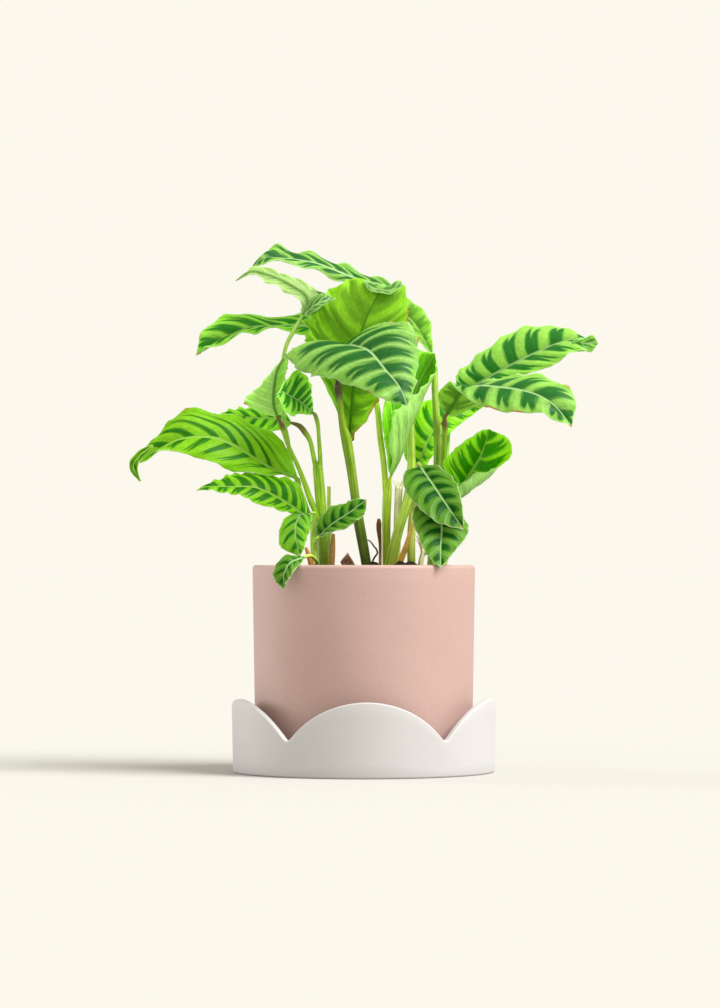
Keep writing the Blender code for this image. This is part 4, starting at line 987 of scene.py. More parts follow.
def leaf_finish(name, tones, sheen_backlight_layer, softness, roughness, glow_share):
    """A leaf side: tones maps each tissue to a hex colour, or to a pair, a cool tone with painted sheen and a
    yellower one with painted backlight glow.
    """
    made, tree, output = new_material(name)
    p = vein_coordinates(tree, sheen_backlight_layer)
    side_vein, midrib, rim = vein_pattern(tree, p)
    tones = dict(tones)
    # Painted light: each pair is mixed leaf by leaf, from the cool tone with painted sheen to the yellow one
    # with painted backlight glow
    for kind, pair in tones.items():
        if not isinstance(pair, str):
            tones[kind] = add(tree, "Mix", {0: p[sheen_backlight_layer], 6: pair[0], 7: pair[1]},
                              data_type="RGBA").outputs[2]

    fade = add(tree, "MapRange", {0: p["out"], 1: 0.35, 2: 1.0, 3: 1.0, 4: 0.35})
    deep = add(tree, "Math", {0: p["young"], 1: fade}, operation="MULTIPLY")
    # Painted light: a pale patch fades the bars
    shown = add(tree, "Math", {0: p["pale"], 1: -0.6, 2: 1.0}, operation="MULTIPLY_ADD")
    dark = add(tree, "Math", {0: bar_pattern(tree, p, softness), 1: shown}, operation="MULTIPLY")
    tone, glow = tones["light"], tones["glow"]
    for share, over in ((deep, tones["young"]), (dark, tones["dark"])):
        tone = add(tree, "Mix", {0: share, 6: tone, 7: over}, data_type="RGBA").outputs[2]
    glow = add(tree, "Mix", {0: dark, 6: glow, 7: tones["dark_glow"]}, data_type="RGBA").outputs[2]

    p["patches"] = add(tree, "TexNoise", {"Vector": p["place"], "Scale": 1 / PATCH_SIZE, "Detail": 4.0})
    outer = add(tree, "MapRange", {0: p["out"], 3: 0.88, 4: 1.08})
    # lift is partly the leaf's own tone and partly painted light that brightens leaves lying in shade
    bright = add(tree, "Math", {0: p["lift"], 1: outer}, operation="MULTIPLY")
    for pattern, factor, offset in SHADES:
        shade = add(tree, "Math", {0: p[pattern], 1: factor, 2: offset}, operation="MULTIPLY_ADD")
        bright = add(tree, "Math", {0: bright, 1: shade}, operation="MULTIPLY")
    rich = add(tree, "Math", {0: p["young"], 1: 0.3, 2: 1.0}, operation="MULTIPLY_ADD")
    tone = add(tree, "HueSaturation", {"Saturation": rich, "Value": bright, "Color": tone})
    glow = add(tree, "HueSaturation", {"Value": bright, "Color": glow})

    veins = ((side_vein, tones["vein"]), (midrib, tones["vein"]), (rim, tones["rim"]))
    for share, over in (*veins, (p["burnt"], tones["burnt"])):
        tone = add(tree, "Mix", {0: share, 6: tone, 7: over}, data_type="RGBA").outputs[2]
    for share, over in ((midrib, tones["vein_glow"]), (p["burnt"], tones["burnt"])):
        glow = add(tree, "Mix", {0: share, 6: glow, 7: over}, data_type="RGBA").outputs[2]
    grain = add(tree, "TexNoise", {"Vector": p["place"], "Scale": 1 / GRAIN_SIZE, "Detail": 2.0})
    height = add(tree, "Math", {0: p["fibre"], 1: 1.2, 2: grain}, operation="MULTIPLY_ADD")
    relief = add(tree, "Bump", {"Strength": 0.5, "Distance": SKIN_RELIEF, "Height": height})
    skin = add(tree, "BsdfPrincipled", {"Base Color": tone, "Roughness": roughness, "IOR": 1.45,
                                        "Specular IOR Level": 0.22, "Normal": relief})
    through = add(tree, "BsdfTranslucent", {"Color": glow})
    both = add(tree, "MixShader", {0: glow_share, 1: skin, 2: through})
    tree.links.new(both.outputs[0], output.inputs["Surface"])
    return made


# In each pair the first tone is a cool green with painted sheen, for leaves facing the lamp, and the second a
# yellower green with painted glow, for leaves lit from behind; both are also partly the leaf's own colour
leaf_top = leaf_finish("waxy_calathea_leaf_top", dict(
    light=("#93c85e", "#8fce1e"), dark=("#26692a", "#2a7a00"), young="#55a242", vein=("#bce49c", "#a6da58"),
    rim=("#d2ecbc", "#b9df7e"), burnt="#c98243", glow=("#c0da74", "#b8f000"),
    dark_glow=("#46a826", "#54b800"), vein_glow="#b8e060"), "sheen_to_backlight", 0.06, 0.42, 0.46)
leaf_under = leaf_finish("matt_calathea_leaf_underside", dict(
    light=("#b6cf8c", "#98cc2c"), dark=("#96b868", "#6ca41a"), young="#86bd58", vein=("#7fac4c", "#548c18"),
    rim=("#c4dca0", "#b9d77c"), burnt="#c98243", glow=("#c8e860", "#b8e800"),
    dark_glow=("#9cd030", "#72b000"), vein_glow="#5aa000"), "under", 0.13, 0.55, 0.46)
leaf_rim = leaf_finish("cut_leaf_rim", dict(
    light=("#a9d96a", "#a9d94a"), dark=("#7fb84e", "#7fb830"), young="#7fb84e", vein=("#b9df7e", "#b9df7e"),
    rim=("#d2ecbc", "#b9df7e"), burnt="#c98243", glow=("#c0ec3c", "#b8f000"),
    dark_glow=("#6fc400", "#6fc400"), vein_glow="#b8e060"), "sheen_to_backlight", 0.06, 0.5, 0.3)

# %% Build the leaves
for name in LEAVES:
    fine_blade(name, (leaf_top, leaf_under, leaf_rim))
print(len(LEAVES), "blades")

# %% [markdown]
# ## Stalks
#
# Each leaf stands on a stalk that comes out of a sheath near the soil. Where stalk meets blade there is a
# short joint, often brown, that turns the leaf to the light. A stalk here is a round tube swept along its
# points. Its wall is lightly fluted, because the fibres inside show as fine lines, and its colour is stored
# on the mesh: the foot, the shaft and the joint each have a tone of their own.

# %% The stalks' points
# Each stem: branches as points (x, y, z, radius) from the foot upwards. A leaf's name at the end runs the
# branch up to that blade's root.
STEMS = {
    "stems_left_sheath": [
        [(-32, 0, 145, 4.4), (-32, 0, 165, 4.4), (-33, 0, 190, 4.3), (-34, 0, 209, 4.2),
         (-37, 1, 243, 4.0), (-37, 1, 247, 2.2)],
        [(-35, 1, 233, 2.2), (-35, 1, 250, 1.8), (-36, 4, 266, 1.5), (-37, 7, 278, 1.6),
         "leaf_left_small_up"],
        [(-37, 1, 235, 2.2), (-40, 2, 250, 1.9), (-43, 4, 264, 1.8), (-47, 5, 271, 1.9),
         (-51, 6, 276, 1.8), "leaf_left_hidden"],
        [(-34, -1, 185, 2.4), (-38, -4, 205, 2.3), (-43, -5, 218, 2.4), (-51, -5, 240, 1.8),
         (-61, -6, 262, 1.6), (-65, -5, 275, 1.8), "leaf_left_back_face"],
        [(-34, 4, 181, 2.0), (-42, 5, 196, 1.9), (-47, 5, 211, 1.8), (-51, 3, 223, 1.7),
         "leaf_left_large"],
    ],
    "stems_left_light": [
        [(-39, -13, 145, 3.0), (-39, -13, 165, 3.0), (-40, -13, 185, 2.9), (-40, -14, 199, 2.0),
         "leaf_small_hanging"],
        [(-40, -13, 183, 2.0), (-42, -12, 197, 1.6), "leaf_left_low"],
        [(-39, -13, 175, 1.8), "leaf_small_centre"],
        [(-39, -14, 166, 1.7), (-37, -25, 167, 1.5), (-38, -40, 169, 1.4), (-41, -54, 172, 1.3),
         "leaf_over_rim"],
    ],
    "stem_top_left": [
        [(-36, 14, 145, 2.6), (-36, 14, 165, 2.6), (-41, 11, 193, 2.4), (-47, 11, 213, 2.1),
         (-54, 14, 233, 1.8), (-59, 14, 249, 1.7), (-61, 11, 265, 1.6), (-64, 6, 281, 1.6),
         (-65, 2, 305, 1.6), (-65, -4, 325, 1.6), (-62, -8, 340, 1.6), (-56, -9, 352, 1.7),
         "leaf_top_left"],
    ],
    "stems_tall_pair": [
        [(4, 0, 145, 4.0), (2, 0, 165, 4.0), (-4, -1, 199, 4.2), (-7, -2, 219, 3.6),
         (-10, -2, 241, 3.8), (-14, -3, 265, 4.2), (-17, -4, 277, 3.0), (-19, -6, 293, 2.5),
         (-21, -8, 309, 2.3), "leaf_front"],
        [(-9, -2, 229, 2.4), (-10, 2, 247, 2.4), "leaf_tall_centre"],
    ],
    "stems_centre_pair": [
        [(18, 8, 145, 3.2), (18, 8, 165, 3.2), (18, 7, 203, 3.5), (19, 6, 225, 3.4), "leaf_furled"],
        [(18, 6, 217, 2.6), (16, 6, 245, 2.4), (13, 6, 268, 2.4), (11, 7, 289, 2.3), (7, 11, 307, 2.2),
         (-1, 16, 327, 2.1), (-12, 17, 342, 2.0), (-21, 14, 347, 1.9), "leaf_mid_left"],
    ],
    "stem_top_sweep": [
        [(17, -6, 145, 4.2), (21, -5, 165, 4.2), (27, -4, 191, 4.0), (35, 0, 217, 3.8),
         (38, 6, 241, 3.5), (38, 13, 265, 3.2), (37, 18, 286, 3.0), (35, 21, 314, 2.7),
         (32, 16, 346, 2.4), (33, 14, 370, 2.2), "leaf_top_sweep"],
    ],
    "stem_behind_right": [
        [(53, 12, 145, 3.4), (54, 12, 165, 3.4), (57, 11, 209, 3.3), (59, 11, 246, 3.2),
         (59, 11, 265, 3.0), (58, 12, 290, 2.8), (57, 13, 309, 2.6), (57, 14, 321, 2.2),
         "leaf_behind_right"],
    ],
    "stem_lower_right": [
        [(60, 1, 145, 2.6), (61, 1, 165, 2.6), (63, 3, 217, 2.5), (64, 5, 257, 2.2), (65, 6, 273, 2.0),
         "leaf_lower_right"],
    ],
    "stem_upper_right": [
        [(58, 28, 145, 2.6), (59, 28, 165, 2.6), (64, 38, 218, 2.4), (68, 50, 267, 2.1),
         (71, 57, 296, 2.0), "leaf_upper_right"],
    ],
    "stems_right_pair": [
        [(38, 6, 145, 3.3), (38, 6, 165, 3.3), (38, 6, 191, 3.2), (40, 9, 217, 2.8),
         (42, 12, 233, 2.2), "leaf_behind_stems"],
        [(39, 7, 205, 2.2), (43, 4, 219, 2.0), (45, -2, 230, 1.8), (43, -11, 239, 1.7),
         "leaf_right_small_up"],
    ],
    "stem_right_spoon": [
        [(63, -12, 145, 2.4), (64, -12, 165, 2.4), (67, -12, 185, 2.2), (72, -11, 205, 2.0),
         "leaf_right_spoon"],
    ],
    "stem_right_small_low": [
        [(53, -22, 145, 2.0), (54, -24, 165, 2.0), (55, -28, 181, 1.9), (56, -29, 201, 1.8),
         "leaf_right_small_low"],
    ],
    "stub_frayed": [
        [(25, 8, 145, 2.9), (26, 8, 165, 2.9), (27, 7, 199, 3.1), (28, 6, 228, 3.1)],
    ],
    "stub_cut": [
        [(-26, 10, 145, 1.7), (-26, 10, 165, 1.7), (-28, 9, 209, 1.6), (-28, 9, 228, 1.5)],
    ],
    "stub_brown": [
        [(22, -13, 145, 2.4), (28, -14, 165, 2.4), (34, -15, 181, 2.0), (39, -16, 199, 1.2)],
    ],
    "stalk_knob": [
        [(13, -9, 145, 1.2), (13, -9, 165, 1.2), (13, -9, 181, 1.2), (12, -9, 193, 1.9),
         (12, -9, 198, 2.0), (12, -9, 202, 1.0)],
    ],
    "stub_fibres": [
        [(43, -7, 145, 2.2), (45, -7, 165, 2.2), (48, -7, 178, 1.8)],
    ],
    "sheath_dry": [
        [(-27, -9, 145, 2.6), (-26, -9, 165, 2.6), (-25, -9, 179, 2.2), (-24, -9, 190, 1.0)],
    ],
    "stub_orange": [
        [(-40, -22, 145, 2.0), (-42, -23, 165, 2.0), (-44, -23, 173, 1.8), (-46, -23, 179, 1.1)],
    ],
    "root_curl": [
        [(5, -9, 153, 0.7), (7, -9, 168, 0.7), (11, -10, 175, 0.7), (8, -10, 180, 0.6),
         (5, -10, 184, 0.5), (3, -9, 185, 0.4)],
    ],
}
print(sum(map(len, STEMS.values())), "branches in the table")

# %% Tones of the stalks
# foot and shaft colours, the height above the soil's edge at which one has turned into the other, in mm. The
# colours are partly the stalks' own and partly painted light: some, such as stems_left_light's, are raised to
# brighten stalks that stand in the leaves' shade.
STALK_TONES = {
    "stems_left_sheath": ("#708a1c", "#9ac630", 60),
    # painted light: this stalk's tones are raised because it stands in shade
    "stems_left_light": ("#c6e060", "#bce05c", 30),
    "stem_top_left": ("#94b838", "#a8d05c", 60),
    "stems_tall_pair": ("#52641e", "#90b030", 110),
    "stems_centre_pair": ("#a4ba1c", "#c4e44c", 90),
    "stem_top_sweep": ("#b0cc48", "#c0e058", 60),
    "stem_behind_right": ("#9cc838", "#9cc046", 60),
    "stem_lower_right": ("#8ca41c", "#9cc020", 60),
    "stem_upper_right": ("#8cc03c", "#92cc40", 60),
    "stems_right_pair": ("#c4d058", "#dce870", 50),
    "stem_right_spoon": ("#c0cc58", "#d4e468", 30),
    "stem_right_small_low": ("#a8bc54", "#a8d05c", 30),
    "stub_frayed": ("#f0f078", "#fffccc", 60),
    "stub_cut": ("#c8d84c", "#dcf070", 60),
    "stub_fibres": ("#d8d498", "#ece8b8", 20),
    "stub_brown": ("#d8983c", "#ffd470", 40),
    "stub_orange": ("#985c2c", "#cc8c4c", 20),
    "stalk_knob": ("#d89c60", "#7c4c2c", 30),
    "sheath_dry": ("#84602c", "#b89054", 25),
    "root_curl": ("#30241c", "#443020", 20),
}
# The joint below a blade: its length in mm and its colour
JOINTS = {
    "leaf_front": (22, "#5d5140"),
    "leaf_behind_right": (18, "#8b7a42"),
    "leaf_lower_right": (18, "#7c5f33"),
    "leaf_left_back_face": (17, "#7d6a35"),
    "leaf_left_hidden": (22, "#7a7034"),
    "leaf_left_small_up": (12, "#8aa048"),
    "leaf_right_small_up": (6, "#9fb45a"),
}
DRY_STALKS = ("stub_brown", "stub_orange", "stalk_knob", "sheath_dry", "root_curl")

# %% [markdown]
# A stalk's few points are joined by the same smooth curve as a midrib, in steps short enough to bend evenly.
# Where it carries a blade it ends in line with that blade's midrib, and its joint is a little thicker.

# %% Paths of the stalks
STALK_STEP = 2.5
STALK_LEAD = 4.0
STALK_OVERLAP = 0.6
STALK_LEAD_RADIUS = 1.38
STALK_END_RADIUS = 1.15
JOINT_SWELLING = 0.22


def stalk_points(branch):
    """The branch's points; a leaf's name becomes two points in line with that blade, up to its root."""
    points = [Vector(point) for point in branch if not isinstance(point, str)]
    if isinstance(branch[-1], str):
        blade = blades[branch[-1]]
        back = -blade.root_ahead
        points.append(Vector((*(blade.root + back * STALK_LEAD), STALK_LEAD_RADIUS)))
        points.append(Vector((*(blade.root - back * STALK_OVERLAP), STALK_END_RADIUS)))
    return points


def dense_path(points):
    """The points on one smooth curve, with more between them so that no step is longer than STALK_STEP."""
    path = []
    for span in spans(points):
        steps = max(2, round((span[2].to_3d() - span[1].to_3d()).length / STALK_STEP))
        path += [spline_point(*span, step / steps) for step in range(steps)]
    return [*path, points[-1]]


def swollen(path, joint):
    """The path with the joint below the blade a little thicker than the stalk."""
    if not joint:
        return path
    end = path[-1].to_3d()
    thick = []
    for place in path:
        away = (place.to_3d() - end).length
        bulge = math.sin(math.pi * min(away / joint[0], 1.0)) if away < joint[0] else 0.0
        thick.append(Vector((*place.to_3d(), place.w * (1 + JOINT_SWELLING * bulge))))
    return thick


# %% [markdown]
# A tube is a grid rolled up along its path. Two directions across the path are carried from point to point
# and turn as little as they can, so the tube doesn't twist. Its colour is stored on its points.

# %% Tubes along the paths
STALK_SIDES = 20
FLUTES = 7
FLUTE_DEPTH = 0.035
DRY_FLUTE_DEPTH = 0.07
STALK_MAP_SCALE = 0.01
WELD_DISTANCE = 0.000001
SOIL_EDGE_HEIGHT = 156.0
# The share of a joint's length, from the blade, over which it has its full colour
JOINT_CORE = 0.6


def new_stalk_mesh():
    """An empty bmesh with the map and the colour that the stalks' finishes read."""
    bm = bmesh.new()
    bm.loops.layers.uv.new("stalk")
    bm.verts.layers.float_color.new("tint")
    return bm


def frames_along(path):
    """For each point of a path, two unit vectors across it that turn as little as they can."""
    side = Vector((1, 0, 0))
    frames = []
    for k in range(len(path)):
        before, after = path[max(k - 1, 0)], path[min(k + 1, len(path) - 1)]
        ahead = (after.to_3d() - before.to_3d()).normalized()
        side = (side - ahead * side.dot(ahead)).normalized()
        frames.append((side, ahead.cross(side)))
    return frames


def sweep(bm, path, tone_at, fluting):
    """Rolls a grid into a tube along a path of (x, y, z, radius), joins its seam and caps its ends."""
    uv = bm.loops.layers.uv["stalk"]
    tint = bm.verts.layers.float_color["tint"]
    rows = len(path) - 1
    frames = frames_along(path)
    travelled = distances(path)
    verts = bmesh.ops.create_grid(bm, x_segments=STALK_SIDES, y_segments=rows, size=1.0)["verts"]
    flat = {}
    for vert in verts:
        flat[vert] = ((vert.co.x + 1) / 2, round((vert.co.y + 1) / 2 * rows))
    for face in {face for vert in verts for face in vert.link_faces}:
        for loop in face.loops:
            around, k = flat[loop.vert]
            loop[uv].uv = (around, travelled[k] * STALK_MAP_SCALE)
    for vert, (around, k) in flat.items():
        turn = math.tau * around
        side, across = frames[k]
        flute = 1 + fluting * math.cos(FLUTES * turn)
        spoke = side * math.cos(turn) + across * math.sin(turn)
        vert.co = (path[k].to_3d() + spoke * path[k].w * flute) * MM
        vert[tint] = tone_at(path[k].z, travelled[-1] - travelled[k])
    bmesh.ops.remove_doubles(bm, verts=verts, dist=WELD_DISTANCE)
    open_edges = [edge for edge in bm.edges if edge.is_boundary]
    bmesh.ops.holes_fill(bm, edges=open_edges, sides=0)


def mixed(a, b, share):
    """The colour at a share of the way from a to b."""
    return tuple(x + (y - x) * share for x, y in zip(a, b))


def stalk_tone(name, joint):
    """The tone along a branch, from its height and its distance from the end, both in mm."""
    foot, shaft, turned_by = STALK_TONES[name]
    foot, shaft = linear(foot), linear(shaft)

    def tone_at(height, from_end):
        tone = mixed(foot, shaft, ease(0, turned_by, height - SOIL_EDGE_HEIGHT))
        if joint:
            length, colour = joint
            tone = mixed(tone, linear(colour), 1 - ease(length * JOINT_CORE, length, from_end))
        return tone

    return tone_at


# %% [markdown]
# The stalk's own finish is smooth and slightly waxy, with long pale fibres. The dry stubs are the same tubes
# in brown, with a coarse, dull, cracked bark-like finish.

# %% The stalks' finishes
# In mm: a stalk's girth, and each pattern's size round it and along it
STALK_GIRTH = 11.7
STREAK_SIZE = (0.45, 33.3)
BAND_SIZE = (1.3, 143.0)
STALK_PATCH_SIZE = 11.1 * MM
STREAK_RELIEF = 0.4 * MM


def stalk_finish(name, fibre_contrast, streak_value, roughness, bump):
    """A finish whose colour is the mesh's tint, with darker streaks along the stalk."""
    made, tree, output = new_material(name)
    tint = add(tree, "Attribute", attribute_name="tint").outputs["Color"]
    unrolled = add(tree, "UVMap", uv_map="stalk")
    place = add(tree, "TexCoord").outputs["Object"]
    noises = []
    for (around, along), detail, rough in ((STREAK_SIZE, 4.0, 0.6), (BAND_SIZE, 3.0, 0.7)):
        scale = (STALK_GIRTH / around, 1 / (along * STALK_MAP_SCALE), 1.0)
        drawn_out = add(tree, "Mapping", {"Vector": unrolled, "Scale": scale})
        noises.append(add(tree, "TexNoise", {"Vector": drawn_out, "Scale": 1.0, "Detail": detail,
                                             "Roughness": rough}))
    streaks, bands = noises
    patches = add(tree, "TexNoise", {"Vector": place, "Scale": 1 / STALK_PATCH_SIZE, "Detail": 3.0})
    both = add(tree, "Math", {0: streaks, 1: patches}, operation="ADD")
    level = add(tree, "Math", {0: both, 1: fibre_contrast, 2: 1.0 - fibre_contrast}, operation="MULTIPLY_ADD")
    tone = add(tree, "HueSaturation", {"Value": level, "Color": tint})
    banded = add(tree, "MapRange", {0: bands, 1: 0.46, 2: 0.62}, interpolation_type="SMOOTHSTEP")
    shaded = add(tree, "HueSaturation", {"Hue": 0.525, "Saturation": 1.1, "Value": streak_value,
                                         "Color": tone})
    tone = add(tree, "Mix", {0: banded, 6: tone, 7: shaded}, data_type="RGBA").outputs[2]
    relief = add(tree, "Bump", {"Strength": bump, "Distance": STREAK_RELIEF, "Height": streaks})
    skin = add(tree, "BsdfPrincipled", {"Base Color": tone, "Roughness": roughness, "IOR": 1.45,
                                        "Specular IOR Level": 0.3, "Normal": relief})
    tree.links.new(skin.outputs[0], output.inputs["Surface"])
    return made


green_stalk = stalk_finish("waxy_calathea_stalk", 0.8, 0.62, 0.4, 0.35)
dry_stalk = stalk_finish("dry_fibrous_stalk", 1.2, 0.7, 0.85, 0.9)

# %% Build the stalks
for name, branches in STEMS.items():
    bm = new_stalk_mesh()
    dry = name in DRY_STALKS
    for branch in branches:
        joint = JOINTS.get(branch[-1]) if isinstance(branch[-1], str) else None
        path = swollen(dense_path(stalk_points(branch)), joint)
        sweep(bm, path, stalk_tone(name, joint), DRY_FLUTE_DEPTH if dry else FLUTE_DEPTH)
    bmesh.ops.recalc_face_normals(bm, faces=bm.faces)
    finish, slot = (dry_stalk, "dry_growth") if dry else (green_stalk, "stem")
    piece(name + "_tubes", bm, [finish], slot, name)
print(len(STEMS), "stalks and stubs")

# %% [markdown]
# ## Pot and saucer
#
# The pot is slip-cast stoneware with a matt glaze: a plain cup, a little wider at the rim than at the foot.
# It is a turned form, so a profile is spun round the axis.

# %% The pot's profile
SAUCER_WALL = 5.0
# Pieces that rest on one another are kept this far apart
CONTACT_GAP = 0.3
POT_RIM_RADIUS = 89.0
POT_FOOT_RADIUS = 86.4
POT_RIM_HEIGHT = 165.0
POT_WALL = 6.0
POT_FLOOR = 7.0
DRAIN_RADIUS = 11.0
POT_FOOT_HEIGHT = SAUCER_WALL + CONTACT_GAP
POT_INSIDE_FLOOR = POT_FOOT_HEIGHT + POT_FLOOR
LIP = POT_WALL / 2
FOOT_EASE = 3.2
FLOOR_EASE = 4.0
# The wall and the two flat floors are cut into rings, so that no face is much longer than it is wide
WALL_RINGS = 12
WALL_RING_PITCH = 12.0
FOOT_RINGS = (60.0, 30.0)
INSIDE_RING = 40.0


def arc(centre, radius, start, end, steps=6):
    """Points of an arc in the profile plane, from one angle to another in degrees."""
    points = []
    for k in range(steps + 1):
        turn = math.radians(start + (end - start) * k / steps)
        points.append((centre[0] + radius * math.cos(turn), centre[1] + radius * math.sin(turn)))
    return points


def pot_radius(height):
    """The pot's outside radius at a height."""
    share = (height - POT_FOOT_HEIGHT) / (POT_RIM_HEIGHT - POT_FOOT_HEIGHT)
    return POT_FOOT_RADIUS + (POT_RIM_RADIUS - POT_FOOT_RADIUS) * share


wall_heights = [POT_RIM_HEIGHT - LIP - k * WALL_RING_PITCH for k in range(1, WALL_RINGS + 1)]
pot_profile = [
    *arc((POT_RIM_RADIUS - LIP, POT_RIM_HEIGHT - LIP), LIP, 180, 0, 12),
    *((pot_radius(height), height) for height in wall_heights),
    *arc((POT_FOOT_RADIUS - FOOT_EASE, POT_FOOT_HEIGHT + FOOT_EASE), FOOT_EASE, 0, -90),
    *((radius, POT_FOOT_HEIGHT) for radius in (*FOOT_RINGS, DRAIN_RADIUS)),
    *((radius, POT_INSIDE_FLOOR) for radius in (DRAIN_RADIUS, INSIDE_RING)),
    *arc((POT_FOOT_RADIUS - POT_WALL - FLOOR_EASE, POT_INSIDE_FLOOR + FLOOR_EASE), FLOOR_EASE, -90, 0),
    *((pot_radius(height) - POT_WALL, height) for height in reversed(wall_heights[:-1])),
]
print("pot profile of", len(pot_profile), "points")

# %% [markdown]
# The glaze is matt and finely speckled: iron grit in the clay breaks through as tiny darker and lighter dots,
# about half a millimetre across, and the surface has a faint sandy tooth.

# %% Stoneware finishes
# Grit and tooth are a little coarser than the real ones, or they would not show
GRIT_SIZE = 0.7 * MM
TOOTH_SIZE = 1.6 * MM
CLOUD_SIZE = 71.4 * MM
TOOTH_RELIEF = 0.2 * MM


def stoneware(name, body, dots, cloud, dot_contrast, roughness, tooth):
    """A matt speckled glaze: body is its colour, dots the grit's and cloud the uneven firing's."""
    made, tree, output = new_material(name)
    place = add(tree, "TexCoord").outputs["Object"]
    uneven = add(tree, "TexNoise", {"Vector": place, "Scale": 1 / CLOUD_SIZE, "Detail": 3.0})
    cloudy = add(tree, "MapRange", {0: uneven, 1: 0.35, 2: 0.7, 3: 0.0, 4: 0.5})
    grit = add(tree, "TexNoise", {"Vector": place, "Scale": 1 / GRIT_SIZE, "Detail": 2.0, "Roughness": 0.7})
    dotted = add(tree, "MapRange", {0: grit, 1: 0.52, 2: 0.72, 3: 0.0, 4: dot_contrast})
    tone = body
    for share, over in ((cloudy, cloud), (dotted, dots)):
        tone = add(tree, "Mix", {0: share, 6: tone, 7: over}, data_type="RGBA").outputs[2]
    sand = add(tree, "TexNoise", {"Vector": place, "Scale": 1 / TOOTH_SIZE, "Detail": 3.0})
    relief = add(tree, "Bump", {"Strength": tooth, "Distance": TOOTH_RELIEF, "Height": sand})
    glaze = add(tree, "BsdfPrincipled", {"Base Color": tone, "Roughness": roughness, "IOR": 1.5,
                                         "Normal": relief})
    tree.links.new(glaze.outputs[0], output.inputs["Surface"])
    return made


pink_glaze = stoneware("matt_pink_stoneware", "#ae8f87", "#8c6a62", "#b6978e", 0.45, 0.62, 0.35)
white_glaze = stoneware("matt_off_white_stoneware", "#b5b3b2", "#a09c99", "#bab9b8", 0.2, 0.6, 0.12)

# %% [markdown]
# The profile lies in an upright plane, from the lip down the outside and back up the inside. A full spin that
# merges its end with its start makes it a closed cup.

# %% Spin the pot
SPIN_STEPS = 192


def spun(profile, closed):
    """A bmesh of a profile of (radius, height) in mm, spun round the upright axis."""
    bm = bmesh.new()
    corners = [bm.verts.new((radius * MM, 0.0, height * MM)) for radius, height in profile]
    edges = [bm.edges.new(pair) for pair in zip(corners, corners[1:])]
    if closed:
        edges.append(bm.edges.new((corners[-1], corners[0])))
    bmesh.ops.spin(bm, geom=corners + edges, cent=(0, 0, 0), axis=(0, 0, 1), angle=math.tau,
                   steps=SPIN_STEPS, use_merge=True)
    bmesh.ops.remove_doubles(bm, verts=bm.verts, dist=WELD_DISTANCE)
    bmesh.ops.recalc_face_normals(bm, faces=bm.faces)
    return bm


piece("pot_cup", spun(pot_profile, closed=True), [pink_glaze], "pot_ceramic", "pot")

# %% [markdown]
# The saucer's wall ends in five round scallops that meet in notches. That can't be spun, so a ring of edges
# is extruded up, and each of its points is raised to the scallops' height. Solidify then gives the sheet its
# thickness, and a small bevel eases its edge as glaze does.

# %% The saucer
SAUCER_RADIUS = 105.5
SAUCER_FOOT_RADIUS = 104.4
SAUCER_PEAK = 59.0
SAUCER_NOTCH = 26.5
SAUCER_EDGE_ROUND = 1.5
SCALLOPS = 5
SCALLOP_STEPS = 60
SCALLOP_TURN = math.radians(1.3)
NOTCH_ROUND = 2.2
WALL_STEPS = 6
# The rounded foot: its disc and its two rings, each with how far it lies inside the foot's radius
FOOT_DISC_INSET = 1.5
FOOT_TOP = 1.4
SAUCER_FOOT_RINGS = ((0.4, 0.3), (0.0, FOOT_TOP))


def scallop_height(angle):
    """Height of the wall: round arcs that meet in notches, drawn on the unrolled wall and eased there."""
    half = SAUCER_RADIUS * math.pi / SCALLOPS
    rise = SAUCER_PEAK - SAUCER_NOTCH
    arc_radius = (half ** 2 + rise ** 2) / (2 * rise)
    turn = 2 * math.pi / SCALLOPS
    away = abs((angle / turn + 0.5) % 1.0 - 0.5) * turn * SAUCER_RADIUS
    from_notch = half - away
    eased = half - (math.sqrt(from_notch ** 2 + NOTCH_ROUND ** 2) - NOTCH_ROUND * 0.35)
    return SAUCER_PEAK - arc_radius + math.sqrt(arc_radius ** 2 - max(eased, 0.0) ** 2)


def saucer_sheet():
    """The saucer's outer face: a disc for the floor and a wall raised to the scallops' height."""
    bm = bmesh.new()
    bmesh.ops.create_circle(bm, cap_ends=True, segments=SCALLOPS * SCALLOP_STEPS,
                            radius=(SAUCER_FOOT_RADIUS - FOOT_DISC_INSET) * MM)
    rings = [(SAUCER_FOOT_RADIUS - inset, height, 0.0) for inset, height in SAUCER_FOOT_RINGS]
    for step in range(1, WALL_STEPS + 1):
        share = step / WALL_STEPS
        rings.append((SAUCER_FOOT_RADIUS + (SAUCER_RADIUS - SAUCER_FOOT_RADIUS) * share, FOOT_TOP, share))
    edges = list(bm.edges)
    for radius, base, share in rings:
        grown = bmesh.ops.extrude_edge_only(bm, edges=edges)["geom"]
        for vert in (item for item in grown if isinstance(item, bmesh.types.BMVert)):
            turn = math.atan2(vert.co.y, vert.co.x)
            height = base + (scallop_height(turn + math.pi / 2 - SCALLOP_TURN) - base) * share
            vert.co = (radius * MM * math.cos(turn), radius * MM * math.sin(turn), height * MM)
        edges = [item for item in grown if isinstance(item, bmesh.types.BMEdge) and item.is_boundary]
    bmesh.ops.recalc_face_normals(bm, faces=bm.faces)
    if sum(face.calc_center_median().dot(face.normal) for face in bm.faces) < 0:
        bmesh.ops.reverse_faces(bm, faces=bm.faces)
    return bm


saucer = piece("saucer_dish", saucer_sheet(), [white_glaze], "saucer_ceramic", "saucer")
wall = saucer.modifiers.new("wall", "SOLIDIFY")
wall.thickness = SAUCER_WALL * MM
wall.offset = -1.0
wall.use_even_offset = True
eased_edge = saucer.modifiers.new("eased_edge", "BEVEL")
eased_edge.width = SAUCER_EDGE_ROUND * MM
eased_edge.segments = 3
eased_edge.limit_method = "ANGLE"
eased_edge.angle_limit = math.radians(50)

